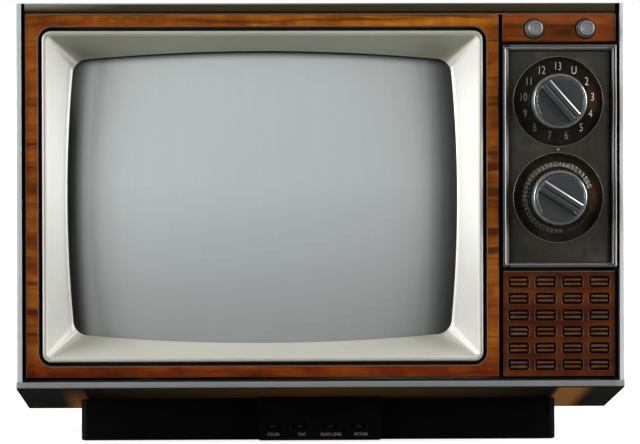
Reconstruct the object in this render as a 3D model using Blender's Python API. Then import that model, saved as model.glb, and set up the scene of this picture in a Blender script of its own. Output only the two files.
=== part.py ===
"""Table-top colour television of the 1970s, its rabbit ears folded behind the cabinet's top edge.

Frame: metres, +Z up, front facing -Y, +X to the right seen from the front. The origin is on the
floor plane, under the middle of the object's box. Inside this file the set is drawn in millimetres
from the plane of the front rim: y grows towards the back, and the empty called "set" carries that
plane to its place in the frame.
"""

import math

import bmesh
import bpy
from mathutils import Matrix, Vector

MM = 0.001

# ---------------------------------------------------------------- shared dimensions, in millimetres
RIM_PLANE = -210.0  # the front rim's plane in the frame, along Y
GAP = 0.3  # clearance between neighbouring parts
THROUGH = (-5, 30)  # depths of a cutter that passes right through the front panels

HALF_W = 304.5  # half the cabinet's width
TOP = 444.0  # top of the cabinet
WALL = 9.5  # cabinet board
RIM_LOW = 59.7  # underside of the front rim
CHIN_BACK = 180.0  # the underside rakes down from the rim to here
FLOOR = 27.0  # flat underside behind the chin
SHELL_FRONT, SHELL_BACK = 7.3, 300.0

FACE_HALF_W = 294.7  # half the width of everything inside the shadow gap
FACE_LOW, FACE_HIGH = 70.2, 433.6  # front panels, bottom and top
FACE_Y, PANEL_BACK = 3.0, 13.0  # front and back of the wood-grain panels
CARRIER_FRONT, CARRIER_BACK = 13.3, 17.0
GROOVE_LEFT, GROOVE_RIGHT = 178.2, 182.4  # upright gap between screen side and control side

MASK_CENTRE = (-57.4, 251.0)  # picture mask, (x, z)
SCREEN_CENTRE = (-57.4, 250.2)  # tube axis, (x, z)
TUBE_AXIS = (SCREEN_CENTRE[0], 0, SCREEN_CENTRE[1])
POSTS = [(SCREEN_CENTRE[0] + side * 212.0, SCREEN_CENTRE[1] + level * 162.0)
         for side in (-1, 1) for level in (-1, 1)]  # tube mounting posts, (x, z)

DIAL_X = 238.0
VHF_Z, UHF_Z = 345.2, 249.0
VOLUME_X, TONE_X, SMALL_KNOBS_Z = 213.7, 265.2, 417.8
SPEAKER_X, SPEAKER_Z = 238.5, 123.0
TRIM_LOW, TRIM_HIGH = 179.5, 403.7  # bright frame round the tuner panel
COVER_BACK = 392.0  # flat back of the back cover
SHELF_Z = 416.0  # shelf on the back cover that carries the antenna

# Base colour, roughness, metallic.
FINISHES = {
    "walnut": ((0.16, 0.07, 0.035), 0.45, 0.0),
    "walnut_front": ((0.33, 0.12, 0.04), 0.4, 0.0),
    "silver_trim": ((0.62, 0.64, 0.64), 0.3, 1.0),
    "dark_trim": ((0.10, 0.09, 0.07), 0.35, 0.8),
    "black_plastic": ((0.012, 0.012, 0.011), 0.4, 0.0),
    "brown_plastic": ((0.045, 0.03, 0.022), 0.55, 0.0),
    "mask_silver": ((0.62, 0.62, 0.57), 0.4, 0.1),
    "screen_glass": ((0.42, 0.44, 0.44), 0.1, 0.0),
    "bulb_glass": ((0.10, 0.11, 0.11), 0.3, 0.0),
    "chrome": ((0.75, 0.76, 0.78), 0.12, 1.0),
    "panel_grey": ((0.045, 0.045, 0.04), 0.45, 0.2),
    "dial_black": ((0.012, 0.010, 0.008), 0.35, 0.0),
    "steel": ((0.45, 0.46, 0.47), 0.4, 1.0),
    "copper": ((0.55, 0.25, 0.12), 0.35, 1.0),
    "board": ((0.22, 0.13, 0.04), 0.6, 0.0),
    "iron": ((0.08, 0.08, 0.085), 0.6, 0.6),
    "paper": ((0.03, 0.03, 0.03), 0.9, 0.0),
    "rubber": ((0.02, 0.02, 0.02), 0.8, 0.0),
    "twin_lead": ((0.20, 0.13, 0.07), 0.5, 0.0),
    "bakelite": ((0.10, 0.055, 0.03), 0.4, 0.0),
}


# ---------------------------------------------------------------- scene and objects
def make_material(name, colour, roughness, metallic):
    made = bpy.data.materials.new(name)
    made.use_nodes = True
    inputs = made.node_tree.nodes["Principled BSDF"].inputs
    inputs["Base Color"].default_value = (*colour, 1.0)
    inputs["Roughness"].default_value = roughness
    inputs["Metallic"].default_value = metallic
    return made


def empty(name, at, parent=None, turn=0.0):
    """Places an axis or frame, turned about Z."""
    made = bpy.data.objects.new(name, None)
    bpy.context.scene.collection.objects.link(made)
    made.parent = parent
    made.location = [c * MM for c in at]
    made.rotation_euler = (0, 0, turn)
    return made


for old in list(bpy.data.objects):
    bpy.data.objects.remove(old, do_unlink=True)
MATERIALS = {name: make_material(name, *finish) for name, finish in FINISHES.items()}
SET = empty("set", (0, RIM_PLANE, 0))


def link(name, solid, parent, at):
    """Links a bmesh drawn in millimetres as a named object, with outward normals."""
    bmesh.ops.scale(solid, vec=(MM, MM, MM), verts=solid.verts)
    bmesh.ops.recalc_face_normals(solid, faces=solid.faces)
    mesh = bpy.data.meshes.new(name)
    solid.to_mesh(mesh)
    solid.free()
    made = bpy.data.objects.new(name, mesh)
    bpy.context.scene.collection.objects.link(made)
    made.parent = parent
    made.location = [c * MM for c in at]
    return made


def put(name, solid, finish, parent=SET, at=(0, 0, 0), smooth=None):
    """Makes a visible piece. Edges sharper than smooth, in degrees, stay crisp."""
    piece = link(name, solid, parent, at)
    if smooth:
        piece.data.shade_smooth()
        piece.data.set_sharp_from_angle(angle=math.radians(smooth))
    piece.data.materials.append(MATERIALS[finish])
    return piece


def combine(piece, operation, name, solid, at, parent):
    helper = link(name, solid, parent, at)
    helper.hide_render = True
    helper.display_type = "WIRE"
    modifier = piece.modifiers.new(f"{operation.lower()}_{len(piece.modifiers)}", "BOOLEAN")
    modifier.operation = operation
    modifier.solver = "EXACT"
    modifier.object = helper


def cut(piece, name, solid, at=(0, 0, 0), parent=SET):
    combine(piece, "DIFFERENCE", name, solid, at, parent)


def add(piece, name, solid, at=(0, 0, 0), parent=SET):
    combine(piece, "UNION", name, solid, at, parent)


# ---------------------------------------------------------------- solids
def loft(loops, ring=False):
    """Skins equal-length closed loops of 3D points. A ring joins the last loop to the first."""
    solid = bmesh.new()
    rows = [[solid.verts.new(point) for point in loop] for loop in loops]
    count = len(rows[0])
    pairs = list(zip(rows, rows[1:])) + ([(rows[-1], rows[0])] if ring else [])
    for near, far in pairs:
        for i in range(count):
            j = (i + 1) % count
            solid.faces.new((near[i], near[j], far[j], far[i]))
    if not ring:
        solid.faces.new(rows[0][::-1])
        solid.faces.new(rows[-1])
    return solid


def add_block(solid, centre, size):
    """Adds a block to a bmesh."""
    verts = bmesh.ops.create_cube(solid, size=1.0)["verts"]
    bmesh.ops.scale(solid, vec=size, verts=verts)
    bmesh.ops.translate(solid, vec=centre, verts=verts)


def box(left, right, front, back, bottom, top, bevel=0.0):
    solid = bmesh.new()
    centre = ((left + right) / 2, (front + back) / 2, (bottom + top) / 2)
    add_block(solid, centre, (right - left, back - front, top - bottom))
    if bevel:
        bmesh.ops.bevel(solid, geom=solid.edges[:], offset=bevel, segments=1, profile=0.5,
                        affect="EDGES")
    return solid


def prism_x(profile, left, right):
    """Extrudes a (y, z) outline along X."""
    return loft([[(x, y, z) for y, z in profile] for x in (left, right)])


def prism_y(profile, front, back):
    """Extrudes an (x, z) outline along Y."""
    return loft([level(profile, y) for y in (front, back)])


def around(axis, radius, distance, turn):
    """Point at a radius from an axis and a distance along it, turn being a share of a circle."""
    c, s = radius * math.cos(2 * math.pi * turn), radius * math.sin(2 * math.pi * turn)
    return {"X": (distance, c, s), "Y": (c, distance, s), "Z": (c, s, distance)}[axis]


def lathe(profile, steps, axis="Y"):
    """Turns a closed (radius, distance) outline about an axis. No point may lie on the axis."""
    return loft([[around(axis, r, d, k / steps) for r, d in profile] for k in range(steps)],
                ring=True)


def rod(profile, steps, axis="Y"):
    """Turns an open (radius, distance) outline about an axis, with flat ends."""
    return loft([[around(axis, r, d, k / steps) for k in range(steps)] for r, d in profile])


def cylinder(radius, start, end, steps, axis="Y"):
    return rod([(radius, start), (radius, end)], steps, axis)


# ---------------------------------------------------------------- outlines
def between(start, end, share):
    return tuple(a + (b - a) * share for a, b in zip(start, end))


def rounded(centre_x, centre_z, half_w, half_h, radius, corner=3, side=1, bow=(0.0, 0.0)):
    """Closed (x, z) outline of a rounded rectangle whose sides may bow outwards.

    corner and side are the numbers of segments in each corner and each side.
    """
    arcs = []
    for sign_x, sign_z, start in ((1, 1, 0), (-1, 1, 90), (-1, -1, 180), (1, -1, 270)):
        angles = [math.radians(start + 90 * k / corner) for k in range(corner + 1)]
        arcs.append([(sign_x * (half_w - radius) + radius * math.cos(angle),
                      sign_z * (half_h - radius) + radius * math.sin(angle)) for angle in angles])
    points = []
    for arc, following in zip(arcs, arcs[1:] + arcs[:1]):
        points += arc
        points += [between(arc[-1], following[0], k / side) for k in range(1, side)]
    outline = []
    for x, z in points:
        bow_x = bow[0] / half_w * (1 - min(1.0, abs(z) / half_h) ** 2)
        bow_z = bow[1] / half_h * (1 - min(1.0, abs(x) / half_w) ** 2)
        outline.append((centre_x + x * (1 + bow_x), centre_z + z * (1 + bow_z)))
    return outline


def level(outline, y):
    """Lifts an (x, z) outline to the depth y, which may be a number or a function of (x, z)."""
    return [(x, y(x, z) if callable(y) else y, z) for x, z in outline]


def plan(outline, z):
    """Lays an (x, y) outline at the height z."""
    return [(x, y, z) for x, y in outline]


def underside(y):
    """Height of the cabinet's underside: the chin rakes down, then it runs flat."""
    return RIM_LOW - (RIM_LOW - FLOOR) * min(1.0, y / CHIN_BACK)


# ---------------------------------------------------------------- cabinet
RIM_W = 6.3  # face width of the bright rim
RIM_BACK = 7.0
RIM_EASE = 2.0  # corner chamfer of the rim
RIM_SHOULDER = 2.5  # drop of its top corners
SHELL_CORNER, INNER_CORNER = 5.0, 0.3  # top corner radii, outside and inside


def shell_section(y, inset, low, radius):
    """Upright section of the cabinet with eased top corners."""
    x, top = HALF_W - inset, TOP - inset
    ease = radius * (1 - math.cos(math.pi / 4))
    right = [(x, low), (x, top - radius), (x - ease, top - ease), (x - radius, top)]
    return level(right + [(-x, z) for x, z in reversed(right)], y)


def build_cabinet():
    depths = (SHELL_FRONT, CHIN_BACK, SHELL_BACK)
    outer = [shell_section(y, 0, underside(y), SHELL_CORNER) for y in depths]
    inner = [shell_section(y, WALL, underside(y) + WALL, INNER_CORNER) for y in depths[::-1]]
    put("cabinet_shell", loft(outer + inner, ring=True), "walnut")

    # A U of bright metal round the left, bottom and right of the front.
    rim_outline = [
        (-HALF_W, RIM_LOW + RIM_EASE), (-HALF_W + RIM_EASE, RIM_LOW),
        (HALF_W - RIM_EASE, RIM_LOW), (HALF_W, RIM_LOW + RIM_EASE),
        (HALF_W, TOP - RIM_SHOULDER), (HALF_W - RIM_EASE, TOP),
        (HALF_W - RIM_W, TOP), (HALF_W - RIM_W, RIM_LOW + RIM_W),
        (-HALF_W + RIM_W, RIM_LOW + RIM_W), (-HALF_W + RIM_W, TOP),
        (-HALF_W + RIM_EASE, TOP), (-HALF_W, TOP - RIM_SHOULDER)]
    put("front_rim", prism_y(rim_outline, 0.0, RIM_BACK), "silver_trim")

    high, low = TOP - 0.2, TOP - WALL - 0.1
    trim_profile = [(1.6, high), (RIM_BACK, high), (RIM_BACK, low), (0.8, low), (0.4, TOP - 5.0)]
    put("top_trim", prism_x(trim_profile, -FACE_HALF_W, FACE_HALF_W), "dark_trim")


# ---------------------------------------------------------------- front panels
WELL_HALF = (224.35, 169.5)  # opening in the wood-grain panel round the mask
WELL_R = 13.0
SMALL_KNOB_HOLE_R = 9.9
TUNER_SHAFT_HOLE_R, SMALL_SHAFT_HOLE_R = 6.5, 4.0
POST_R, POST_BACK = 5.0, 51.7


def build_front_panels():
    bezel = put("front_bezel", box(-FACE_HALF_W, GROOVE_LEFT, FACE_Y, PANEL_BACK,
                                   FACE_LOW, FACE_HIGH), "walnut_front")
    well = rounded(*MASK_CENTRE, *WELL_HALF, WELL_R, corner=6)
    cut(bezel, "cut_well", prism_y(well, *THROUGH))

    fascia = put("control_fascia", box(GROOVE_RIGHT, FACE_HALF_W, FACE_Y, PANEL_BACK,
                                       TRIM_HIGH + 1.6, FACE_HIGH), "walnut_front")
    for i, x in enumerate((VOLUME_X, TONE_X)):
        cut(fascia, f"cut_fascia_{i}", cylinder(SMALL_KNOB_HOLE_R, *THROUGH, 20),
            (x, 0, SMALL_KNOBS_Z))


def build_carrier():
    """Black carrier behind the panels: everything on the front is fixed to it."""
    carrier = put("front_carrier", box(-FACE_HALF_W, FACE_HALF_W, CARRIER_FRONT, CARRIER_BACK,
                                       FACE_LOW - 0.5, TOP - WALL - GAP), "black_plastic")
    tube_opening = rounded(*MASK_CENTRE, 212.6, 158.0, 5)
    cut(carrier, "cut_carrier_tube", prism_y(tube_opening, 5, 30))
    speaker_opening = rounded(SPEAKER_X, SPEAKER_Z, 45.0, 45.0, 20)
    cut(carrier, "cut_carrier_speaker", prism_y(speaker_opening, 5, 30))
    shaft_holes = (
        (DIAL_X, VHF_Z, TUNER_SHAFT_HOLE_R), (DIAL_X, UHF_Z, TUNER_SHAFT_HOLE_R),
        (VOLUME_X, SMALL_KNOBS_Z, SMALL_SHAFT_HOLE_R), (TONE_X, SMALL_KNOBS_Z, SMALL_SHAFT_HOLE_R))
    for i, (x, z, radius) in enumerate(shaft_holes):
        cut(carrier, f"cut_carrier_{i}", cylinder(radius, 5, 30, 16), (x, 0, z))
    for i, (x, z) in enumerate(POSTS):
        add(carrier, f"add_post_{i}", cylinder(POST_R, 15.0, POST_BACK, 10), (x, 0, z))


# ---------------------------------------------------------------- picture mask
MASK_HALF = (220.25, 165.2)
MASK_R = 9.0
SCREEN_HALF = (189.8, 138.3)  # before the sides bow out
SCREEN_BOW = (6.4, 8.6)
SCREEN_R = 12.0
DOME_Y, DOME_RADIUS = 16.0, 900.0  # front of the glass
MASK_STEPS = dict(corner=4, side=6)
TUBE_STEPS = dict(corner=3, side=3)


def dome(x, z):
    """Depth of the front of the glass."""
    off_axis_squared = (x - SCREEN_CENTRE[0]) ** 2 + (z - SCREEN_CENTRE[1]) ** 2
    return DOME_Y + DOME_RADIUS - math.sqrt(DOME_RADIUS**2 - off_axis_squared)


def behind_dome(offset):
    return lambda x, z: dome(x, z) + offset


def screen_outline(grow, steps):
    return rounded(*SCREEN_CENTRE, SCREEN_HALF[0] + grow, SCREEN_HALF[1] + grow, SCREEN_R + grow,
                   bow=SCREEN_BOW, **steps)


def mask_outline(inset):
    return rounded(*MASK_CENTRE, MASK_HALF[0] - inset, MASK_HALF[1] - inset,
                   max(MASK_R - inset, 2.0), **MASK_STEPS)


def build_mask():
    """Flat lip, then a wall that falls back to the glass and follows its dome."""
    put("picture_mask", loft([
        level(mask_outline(0), PANEL_BACK),
        level(mask_outline(0), 2.2),
        level(mask_outline(1.2), 1.0),
        level(mask_outline(3.6), 1.3),
        level(screen_outline(0.0, MASK_STEPS), behind_dome(-3.3)),
        level(screen_outline(0.8, MASK_STEPS), behind_dome(-0.8)),
        level(mask_outline(4.6), 6.4),
        level(mask_outline(2.4), 6.0),
        level(mask_outline(2.4), PANEL_BACK)], ring=True), "mask_silver", smooth=30)


# ---------------------------------------------------------------- picture tube
FACEPLATE_BACK = 78.0
# Depth, size against the screen outline, share of roundness.
FUNNEL_STATIONS = (
    (FACEPLATE_BACK + GAP, 1.0, 0.0), (115.0, 0.87, 0.08), (160.0, 0.64, 0.3),
    (205.0, 0.38, 0.65), (240.0, 0.2, 0.95))
NECK_OUTSIDE = ((14.6, 394.0), (15.0, 272.0), (20.0, 262.0))  # radius, depth
NECK_INSIDE = ((15.0, 260.0), (11.4, 276.0), (11.0, 380.0))
FUNNEL_R = 200.0  # radius the full-size funnel is rounded towards
FUNNEL_WALL = 4.0
WALL_REFERENCE = 190.0  # half width over which the wall is reckoned
BAND_FRONT, BAND_BACK = 52.0, 76.0
BAND_IN, BAND_OUT = 13.3, 15.0  # growth over the screen outline
LUG_REACH, LUG_HALF_W, LUG_BACK = 24.6, 6.0, 54.5


def scaled(outline, factor):
    return [between(SCREEN_CENTRE, point, factor) for point in outline]


def circle_like(outline, radius):
    """An outline's points drawn onto a circle about the tube axis, in their order."""
    centre_x, centre_z = SCREEN_CENTRE
    angles = [math.atan2(z - centre_z, x - centre_x) for x, z in outline]
    return [(centre_x + radius * math.cos(angle), centre_z + radius * math.sin(angle))
            for angle in angles]


def build_faceplate():
    edge = screen_outline(10.0, TUBE_STEPS)
    skirt = screen_outline(13.0, TUBE_STEPS)
    inside = screen_outline(1.5, TUBE_STEPS)
    loops = [level(scaled(edge, factor), dome) for factor in (0.3, 0.7, 1.0)]
    loops += [level(skirt, behind_dome(6.0)), level(skirt, FACEPLATE_BACK)]
    loops.append(level(inside, FACEPLATE_BACK))
    loops += [level(scaled(inside, factor), behind_dome(12.0)) for factor in (1.0, 0.5)]
    put("crt_faceplate", loft(loops), "screen_glass", smooth=35)


def build_funnel():
    rim = screen_outline(9.0, TUBE_STEPS)

    def station(size, roundness):
        circle = circle_like(rim, FUNNEL_R * size)
        return [between(a, b, roundness) for a, b in zip(scaled(rim, size), circle)]

    # Outside from the neck forwards, then inside from the front edge back.
    loops = [level(circle_like(rim, radius), y) for radius, y in NECK_OUTSIDE]
    loops += [level(station(size, roundness), y) for y, size, roundness in FUNNEL_STATIONS[::-1]]
    for y, size, roundness in FUNNEL_STATIONS:
        hollow = scaled(station(size, roundness), 1 - FUNNEL_WALL / (WALL_REFERENCE * size))
        loops.append(level(hollow, y - 2.0 if y > 100 else y))
    loops += [level(circle_like(rim, radius), y) for radius, y in NECK_INSIDE]
    put("crt_funnel", loft(loops), "bulb_glass", smooth=35)


def lug_arm(x, z):
    """Mounting ear: a flat arm from the band's corner out to a post, round at its end."""
    out = Vector((math.copysign(1, x - SCREEN_CENTRE[0]),
                  math.copysign(1, z - SCREEN_CENTRE[1]))).normalized()
    across = Vector((-out.y, out.x)) * LUG_HALF_W
    end = Vector((x, z))
    foot = end - out * LUG_REACH
    arc = [end + across * math.cos(angle) + out * LUG_HALF_W * math.sin(angle)
           for angle in [math.pi * k / 4 for k in range(5)]]
    outline = [tuple(point) for point in [foot + across] + arc + [foot - across]]
    return prism_y(outline, BAND_FRONT, LUG_BACK)


def build_band():
    inner, outer = (screen_outline(grow, TUBE_STEPS) for grow in (BAND_IN, BAND_OUT))
    band = put("crt_band", loft([
        level(inner, BAND_FRONT), level(outer, BAND_FRONT),
        level(outer, BAND_BACK), level(inner, BAND_BACK)], ring=True), "steel")
    for i, (x, z) in enumerate(POSTS):
        add(band, f"add_lug_{i}", lug_arm(x, z))
        cut(band, f"cut_lug_{i}", cylinder(2.4, 45.0, 60.0, 10), (x, 0, z))


def build_neck_parts():
    yoke_profile = [
        (17.5, 268.0), (17.5, 318.0), (31.0, 318.0), (33.0, 300.0),
        (46.0, 272.0), (52.0, 262.0), (47.0, 259.0), (26.0, 268.0)]
    put("deflection_yoke", lathe(yoke_profile, 18), "copper", at=TUBE_AXIS, smooth=30)
    neck_board = put("crt_neck_board", box(-34, 34, 397.0, 398.8, -34, 34), "board", at=TUBE_AXIS)
    socket_profile = [(17, 398.0), (17, 410.0), (12, 413.0)]
    add(neck_board, "add_socket", rod(socket_profile, 16), TUBE_AXIS)


# ---------------------------------------------------------------- tuner panel, dials and knobs
DIAL_R = 45.2  # visible radius of each dial
DIAL_DISC_R = 47.2
DIAL_FRONT, DIAL_BACK = 7.3, 9.0
KNOB_R, KNOB_FACE_R = 27.5, 24.3
KNOB_EDGE = [(KNOB_FACE_R, -20.6), (KNOB_FACE_R - 1.2, -21.8)]  # eased front edge
SKIRT_BACK, SKIRT_FRONT, STEP_FRONT = 2.0, -16.4, -17.0
SHAFT_R, SHAFT_BACK = 3.0, 28.0
VHF_BAR, UHF_BAR = -48.6, -32.5  # bar slopes in degrees; negative lowers the right end
BAR_STATIONS = ((-21.0, 22.6, 6.3), (-22.2, 22.6, 6.3), (-27.0, 21.1, 4.6))  # y, half length, half width
SMALL_KNOB_BACK = 1.6
SMALL_KNOB = [(9.3, SMALL_KNOB_BACK), (9.3, -7.0), (8.0, -13.4), (6.0, -16.0)]
SMALL_SHAFT_R, SMALL_SHAFT_BACK = 2.5, 34.0


def build_tuner_panel():
    left, right = GROOVE_RIGHT + 5.0, FACE_HALF_W - 4.0
    low, high = TRIM_LOW + 4.0, TRIM_HIGH - 6.0
    trim = put("tuner_trim", box(GROOVE_RIGHT + GAP, FACE_HALF_W, 0.4, PANEL_BACK,
                                 TRIM_LOW, TRIM_HIGH, 0.6), "chrome")
    cut(trim, "cut_trim", box(left, right, *THROUGH, low, high))
    panel = put("tuner_panel", box(left + GAP, right - GAP, 4.0, 7.0, low + GAP, high - GAP),
                "panel_grey")
    for name, z in (("vhf", VHF_Z), ("uhf", UHF_Z)):
        cut(panel, f"cut_panel_{name}", cylinder(DIAL_R, -5, 20, 32), (DIAL_X, 0, z))


def dial(bore):
    return lathe([(bore, DIAL_FRONT), (DIAL_DISC_R, DIAL_FRONT),
                  (DIAL_DISC_R, DIAL_BACK), (bore, DIAL_BACK)], 32)


def knob_bar(slope):
    """Raised finger bar across a knob's face: its top is narrower than its foot."""
    solid = loft([[(-x, y, -z), (x, y, -z), (x, y, z), (-x, y, z)] for y, x, z in BAR_STATIONS])
    turn = Matrix.Rotation(-math.radians(slope), 3, "Y")
    bmesh.ops.rotate(solid, cent=(0, 0, 0), matrix=turn, verts=solid.verts)
    return solid


def build_vhf_control():
    put("vhf_dial", dial(5.4), "dial_black", at=(DIAL_X, 0, VHF_Z))
    axis = empty("vhf_axis", (DIAL_X, 0, VHF_Z), SET)
    profile = [(SHAFT_R, SHAFT_BACK), (SHAFT_R, -3.0), (KNOB_FACE_R, -3.0)] + KNOB_EDGE
    knob = put("vhf_knob", rod(profile, 24), "chrome", axis, smooth=40)
    add(knob, "add_vhf_bar", knob_bar(VHF_BAR), parent=axis)
    bore, sleeve, inner = 3.5, 5.0, KNOB_FACE_R + 0.4
    ring_profile = [
        (bore, -1.2), (inner, -1.2), (inner, STEP_FRONT), (KNOB_R, SKIRT_FRONT),
        (KNOB_R, SKIRT_BACK), (sleeve, SKIRT_BACK), (sleeve, 16.5), (bore, 16.5)]
    put("vhf_fine_ring", lathe(ring_profile, 24), "chrome", axis, smooth=40)


def build_uhf_control():
    axis = empty("uhf_axis", (DIAL_X, 0, UHF_Z), SET)
    profile = [(SHAFT_R, SHAFT_BACK), (SHAFT_R, SKIRT_BACK), (KNOB_R, SKIRT_BACK),
               (KNOB_R, SKIRT_FRONT), (KNOB_FACE_R, STEP_FRONT)] + KNOB_EDGE
    knob = put("uhf_knob", rod(profile, 24), "chrome", axis, smooth=40)
    add(knob, "add_uhf_bar", knob_bar(UHF_BAR), parent=axis)
    put("uhf_dial", dial(3.3), "dial_black", axis)


def build_small_knobs():
    volume_axis = empty("volume_axis", (VOLUME_X, 0, SMALL_KNOBS_Z), SET)
    put("pull_switch_rod", cylinder(SMALL_SHAFT_R, -8.0, SMALL_SHAFT_BACK, 12), "steel",
        volume_axis, smooth=40)
    # The volume knob has a blind bore for the rod; the tone knob carries its own shaft.
    bore = [(2.8, -8.4), (2.8, SMALL_KNOB_BACK)]
    put("volume_knob", rod(bore + SMALL_KNOB, 16), "chrome", volume_axis, smooth=40)
    tone_axis = empty("tone_axis", (TONE_X, 0, SMALL_KNOBS_Z), SET)
    shaft = [(SMALL_SHAFT_R, SMALL_SHAFT_BACK), (SMALL_SHAFT_R, SMALL_KNOB_BACK)]
    put("tone_knob", rod(shaft + SMALL_KNOB, 16), "chrome", tone_axis, smooth=40)


# ---------------------------------------------------------------- loudspeaker
SLOT_COLUMNS, SLOT_ROWS = 4, 6
SLOT_FIRST = (198.0, 164.4)  # top left slot, (x, z)
SLOT_PITCH = (27.03, 16.58)
SLOT_SIZE = (20.4, 30.0, 10.3)


def build_loudspeaker():
    grille = put("speaker_grille", box(GROOVE_RIGHT + 0.2, FACE_HALF_W, FACE_Y, PANEL_BACK,
                                       FACE_LOW, 175.5), "walnut_front")
    slots = bmesh.new()
    for column in range(SLOT_COLUMNS):
        for row in range(SLOT_ROWS):
            x = SLOT_FIRST[0] + SLOT_PITCH[0] * column
            z = SLOT_FIRST[1] - SLOT_PITCH[1] * row
            add_block(slots, (x, 8.0, z), SLOT_SIZE)
    cut(grille, "cut_grille", slots)

    speaker_at = (SPEAKER_X, 0, SPEAKER_Z)
    basket = [(44.5, 17.3), (51.0, 17.3), (51.0, 19.0), (46.5, 19.0), (24.0, 46.0),
              (30.0, 46.0), (30.0, 62.0), (6.0, 62.0), (6.0, 44.0), (21.0, 44.0)]
    put("speaker_basket", lathe(basket, 18), "iron", at=speaker_at, smooth=30)
    cone = [(2.0, 40.5), (14.0, 38.5), (41.0, 18.0), (41.8, 18.0),
            (41.8, 18.6), (14.5, 42.4), (2.0, 43.2)]
    put("speaker_cone", lathe(cone, 18), "paper", at=speaker_at, smooth=30)


# ---------------------------------------------------------------- tuners and chassis
TRAY_HALF_W, TRAY_LOW, TRAY_HIGH, TRAY_SHEET = 272, 52.4, 66.0, 1.6
BOARD_LOW, BOARD_TOP = 57.0, 58.6
BOARD_PARTS = (  # centre x, centre y, half width, half depth, height
    (-150, 240, 16, 14, 34), (-110, 250, 12, 12, 30), (-60, 262, 30, 4, 26),
    (60, 264, 40, 4, 30), (120, 250, 11, 11, 28), (0, 240, 9, 9, 16))


def build_tuners():
    for name, z, can_back in (("vhf_tuner", VHF_Z, 118.0), ("uhf_tuner", UHF_Z, 92.0)):
        can = put(name, box(DIAL_X - 27, DIAL_X + 27, CARRIER_BACK + 0.4, can_back,
                            z - 32, z + 32, 1.5), "steel")
        cut(can, f"cut_{name}", cylinder(5.6, 10.0, 40.0, 16), (DIAL_X, 0, z))


def build_chassis():
    outer, inner = TRAY_HALF_W, TRAY_HALF_W - TRAY_SHEET
    floor = TRAY_LOW + TRAY_SHEET
    tray_profile = [
        (-outer, TRAY_LOW), (outer, TRAY_LOW), (outer, TRAY_HIGH), (inner, TRAY_HIGH),
        (inner, floor), (-inner, floor), (-inner, TRAY_HIGH), (-outer, TRAY_HIGH)]
    put("chassis_tray", prism_y(tray_profile, 100.0, 285.0), "steel")

    board = put("main_board", box(-262, 262, 108, 278, BOARD_LOW, BOARD_TOP), "board")
    for i, (x, y, half_w, half_d, height) in enumerate(BOARD_PARTS):
        add(board, f"add_part_{i}", box(x - half_w, x + half_w, y - half_d, y + half_d,
                                        BOARD_TOP - 0.6, BOARD_TOP + height))


def build_transformers():
    power = put("power_transformer", box(-248, -188, 205, 268, 59.0, 112.0, 2.0), "iron")
    add(power, "add_winding", box(-234, -202, 196, 277, 66.0, 105.0, 3.0))
    flyback = put("flyback_transformer", cylinder(19, 59.0, 100.0, 20, "Z"), "iron",
                  at=(215, 232, 0))
    add(flyback, "add_fly", box(191, 239, 226, 238, 62.0, 118.0, 1.0))


# ---------------------------------------------------------------- pedestal, pod and thumbwheels
BASE_HALF_W, BASE_FRONT, BASE_BACK, BASE_LOW = 243.0, 88.0, 285.0, 1.5
BASE_WALL = 3.0
FEET = {  # centre (x, y)
    "foot_front_left": (-215, 112), "foot_front_right": (215, 112),
    "foot_rear_left": (-215, 262), "foot_rear_right": (215, 262)}
POD_HALF_W, POD_FRONT, POD_WALL = 62.0, 76.0, 2.5
WHEELS = {"color_wheel": -47.5, "tint_wheel": -20.0, "brightness_wheel": 10.5,
          "contrast_wheel": 40.0}  # centre x
WHEEL_R, WHEEL_Y, WHEEL_LOW, WHEEL_HIGH = 9.0, 84.0, 13.2, 17.2
WHEEL_BORE, WHEEL_POST_R = 2.05, 1.7


def build_pedestal():
    outline = rounded(0, (BASE_FRONT + BASE_BACK) / 2, BASE_HALF_W, (BASE_BACK - BASE_FRONT) / 2,
                      7.0)
    base = put("pedestal_base", loft([plan(outline, z) for z in (BASE_LOW, 70.0)]),
               "black_plastic", smooth=40)
    # Everything above the cabinet's underside comes off.
    above = [(-20, underside(-20) - GAP), (CHIN_BACK, FLOOR - GAP), (400, FLOOR - GAP),
             (400, 120), (-20, 120)]
    cut(base, "cut_base_top", prism_x(above, -400, 400))
    front, back, low = BASE_FRONT + BASE_WALL, BASE_BACK - BASE_WALL, BASE_LOW + BASE_WALL
    half_w = BASE_HALF_W - BASE_WALL
    hollow = [(front, low), (front, 60), (back, 60), (back, low)]
    cut(base, "cut_base", prism_x(hollow, -half_w, half_w))
    cut(base, "cut_base_window", box(-59, 59, 80, 95, 5.0, 24.0))
    pad_top = BASE_LOW - GAP
    foot_profile = [(9.0, 0.0), (9.0, pad_top), (2.9, pad_top), (2.9, 8.0)]
    for name, (x, y) in FEET.items():
        cut(base, f"cut_{name}", cylinder(3.2, -5, 10, 12, "Z"), (x, y, 0))
        put(name, rod(foot_profile, 14, "Z"), "rubber", at=(x, y, 0), smooth=40)


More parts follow.
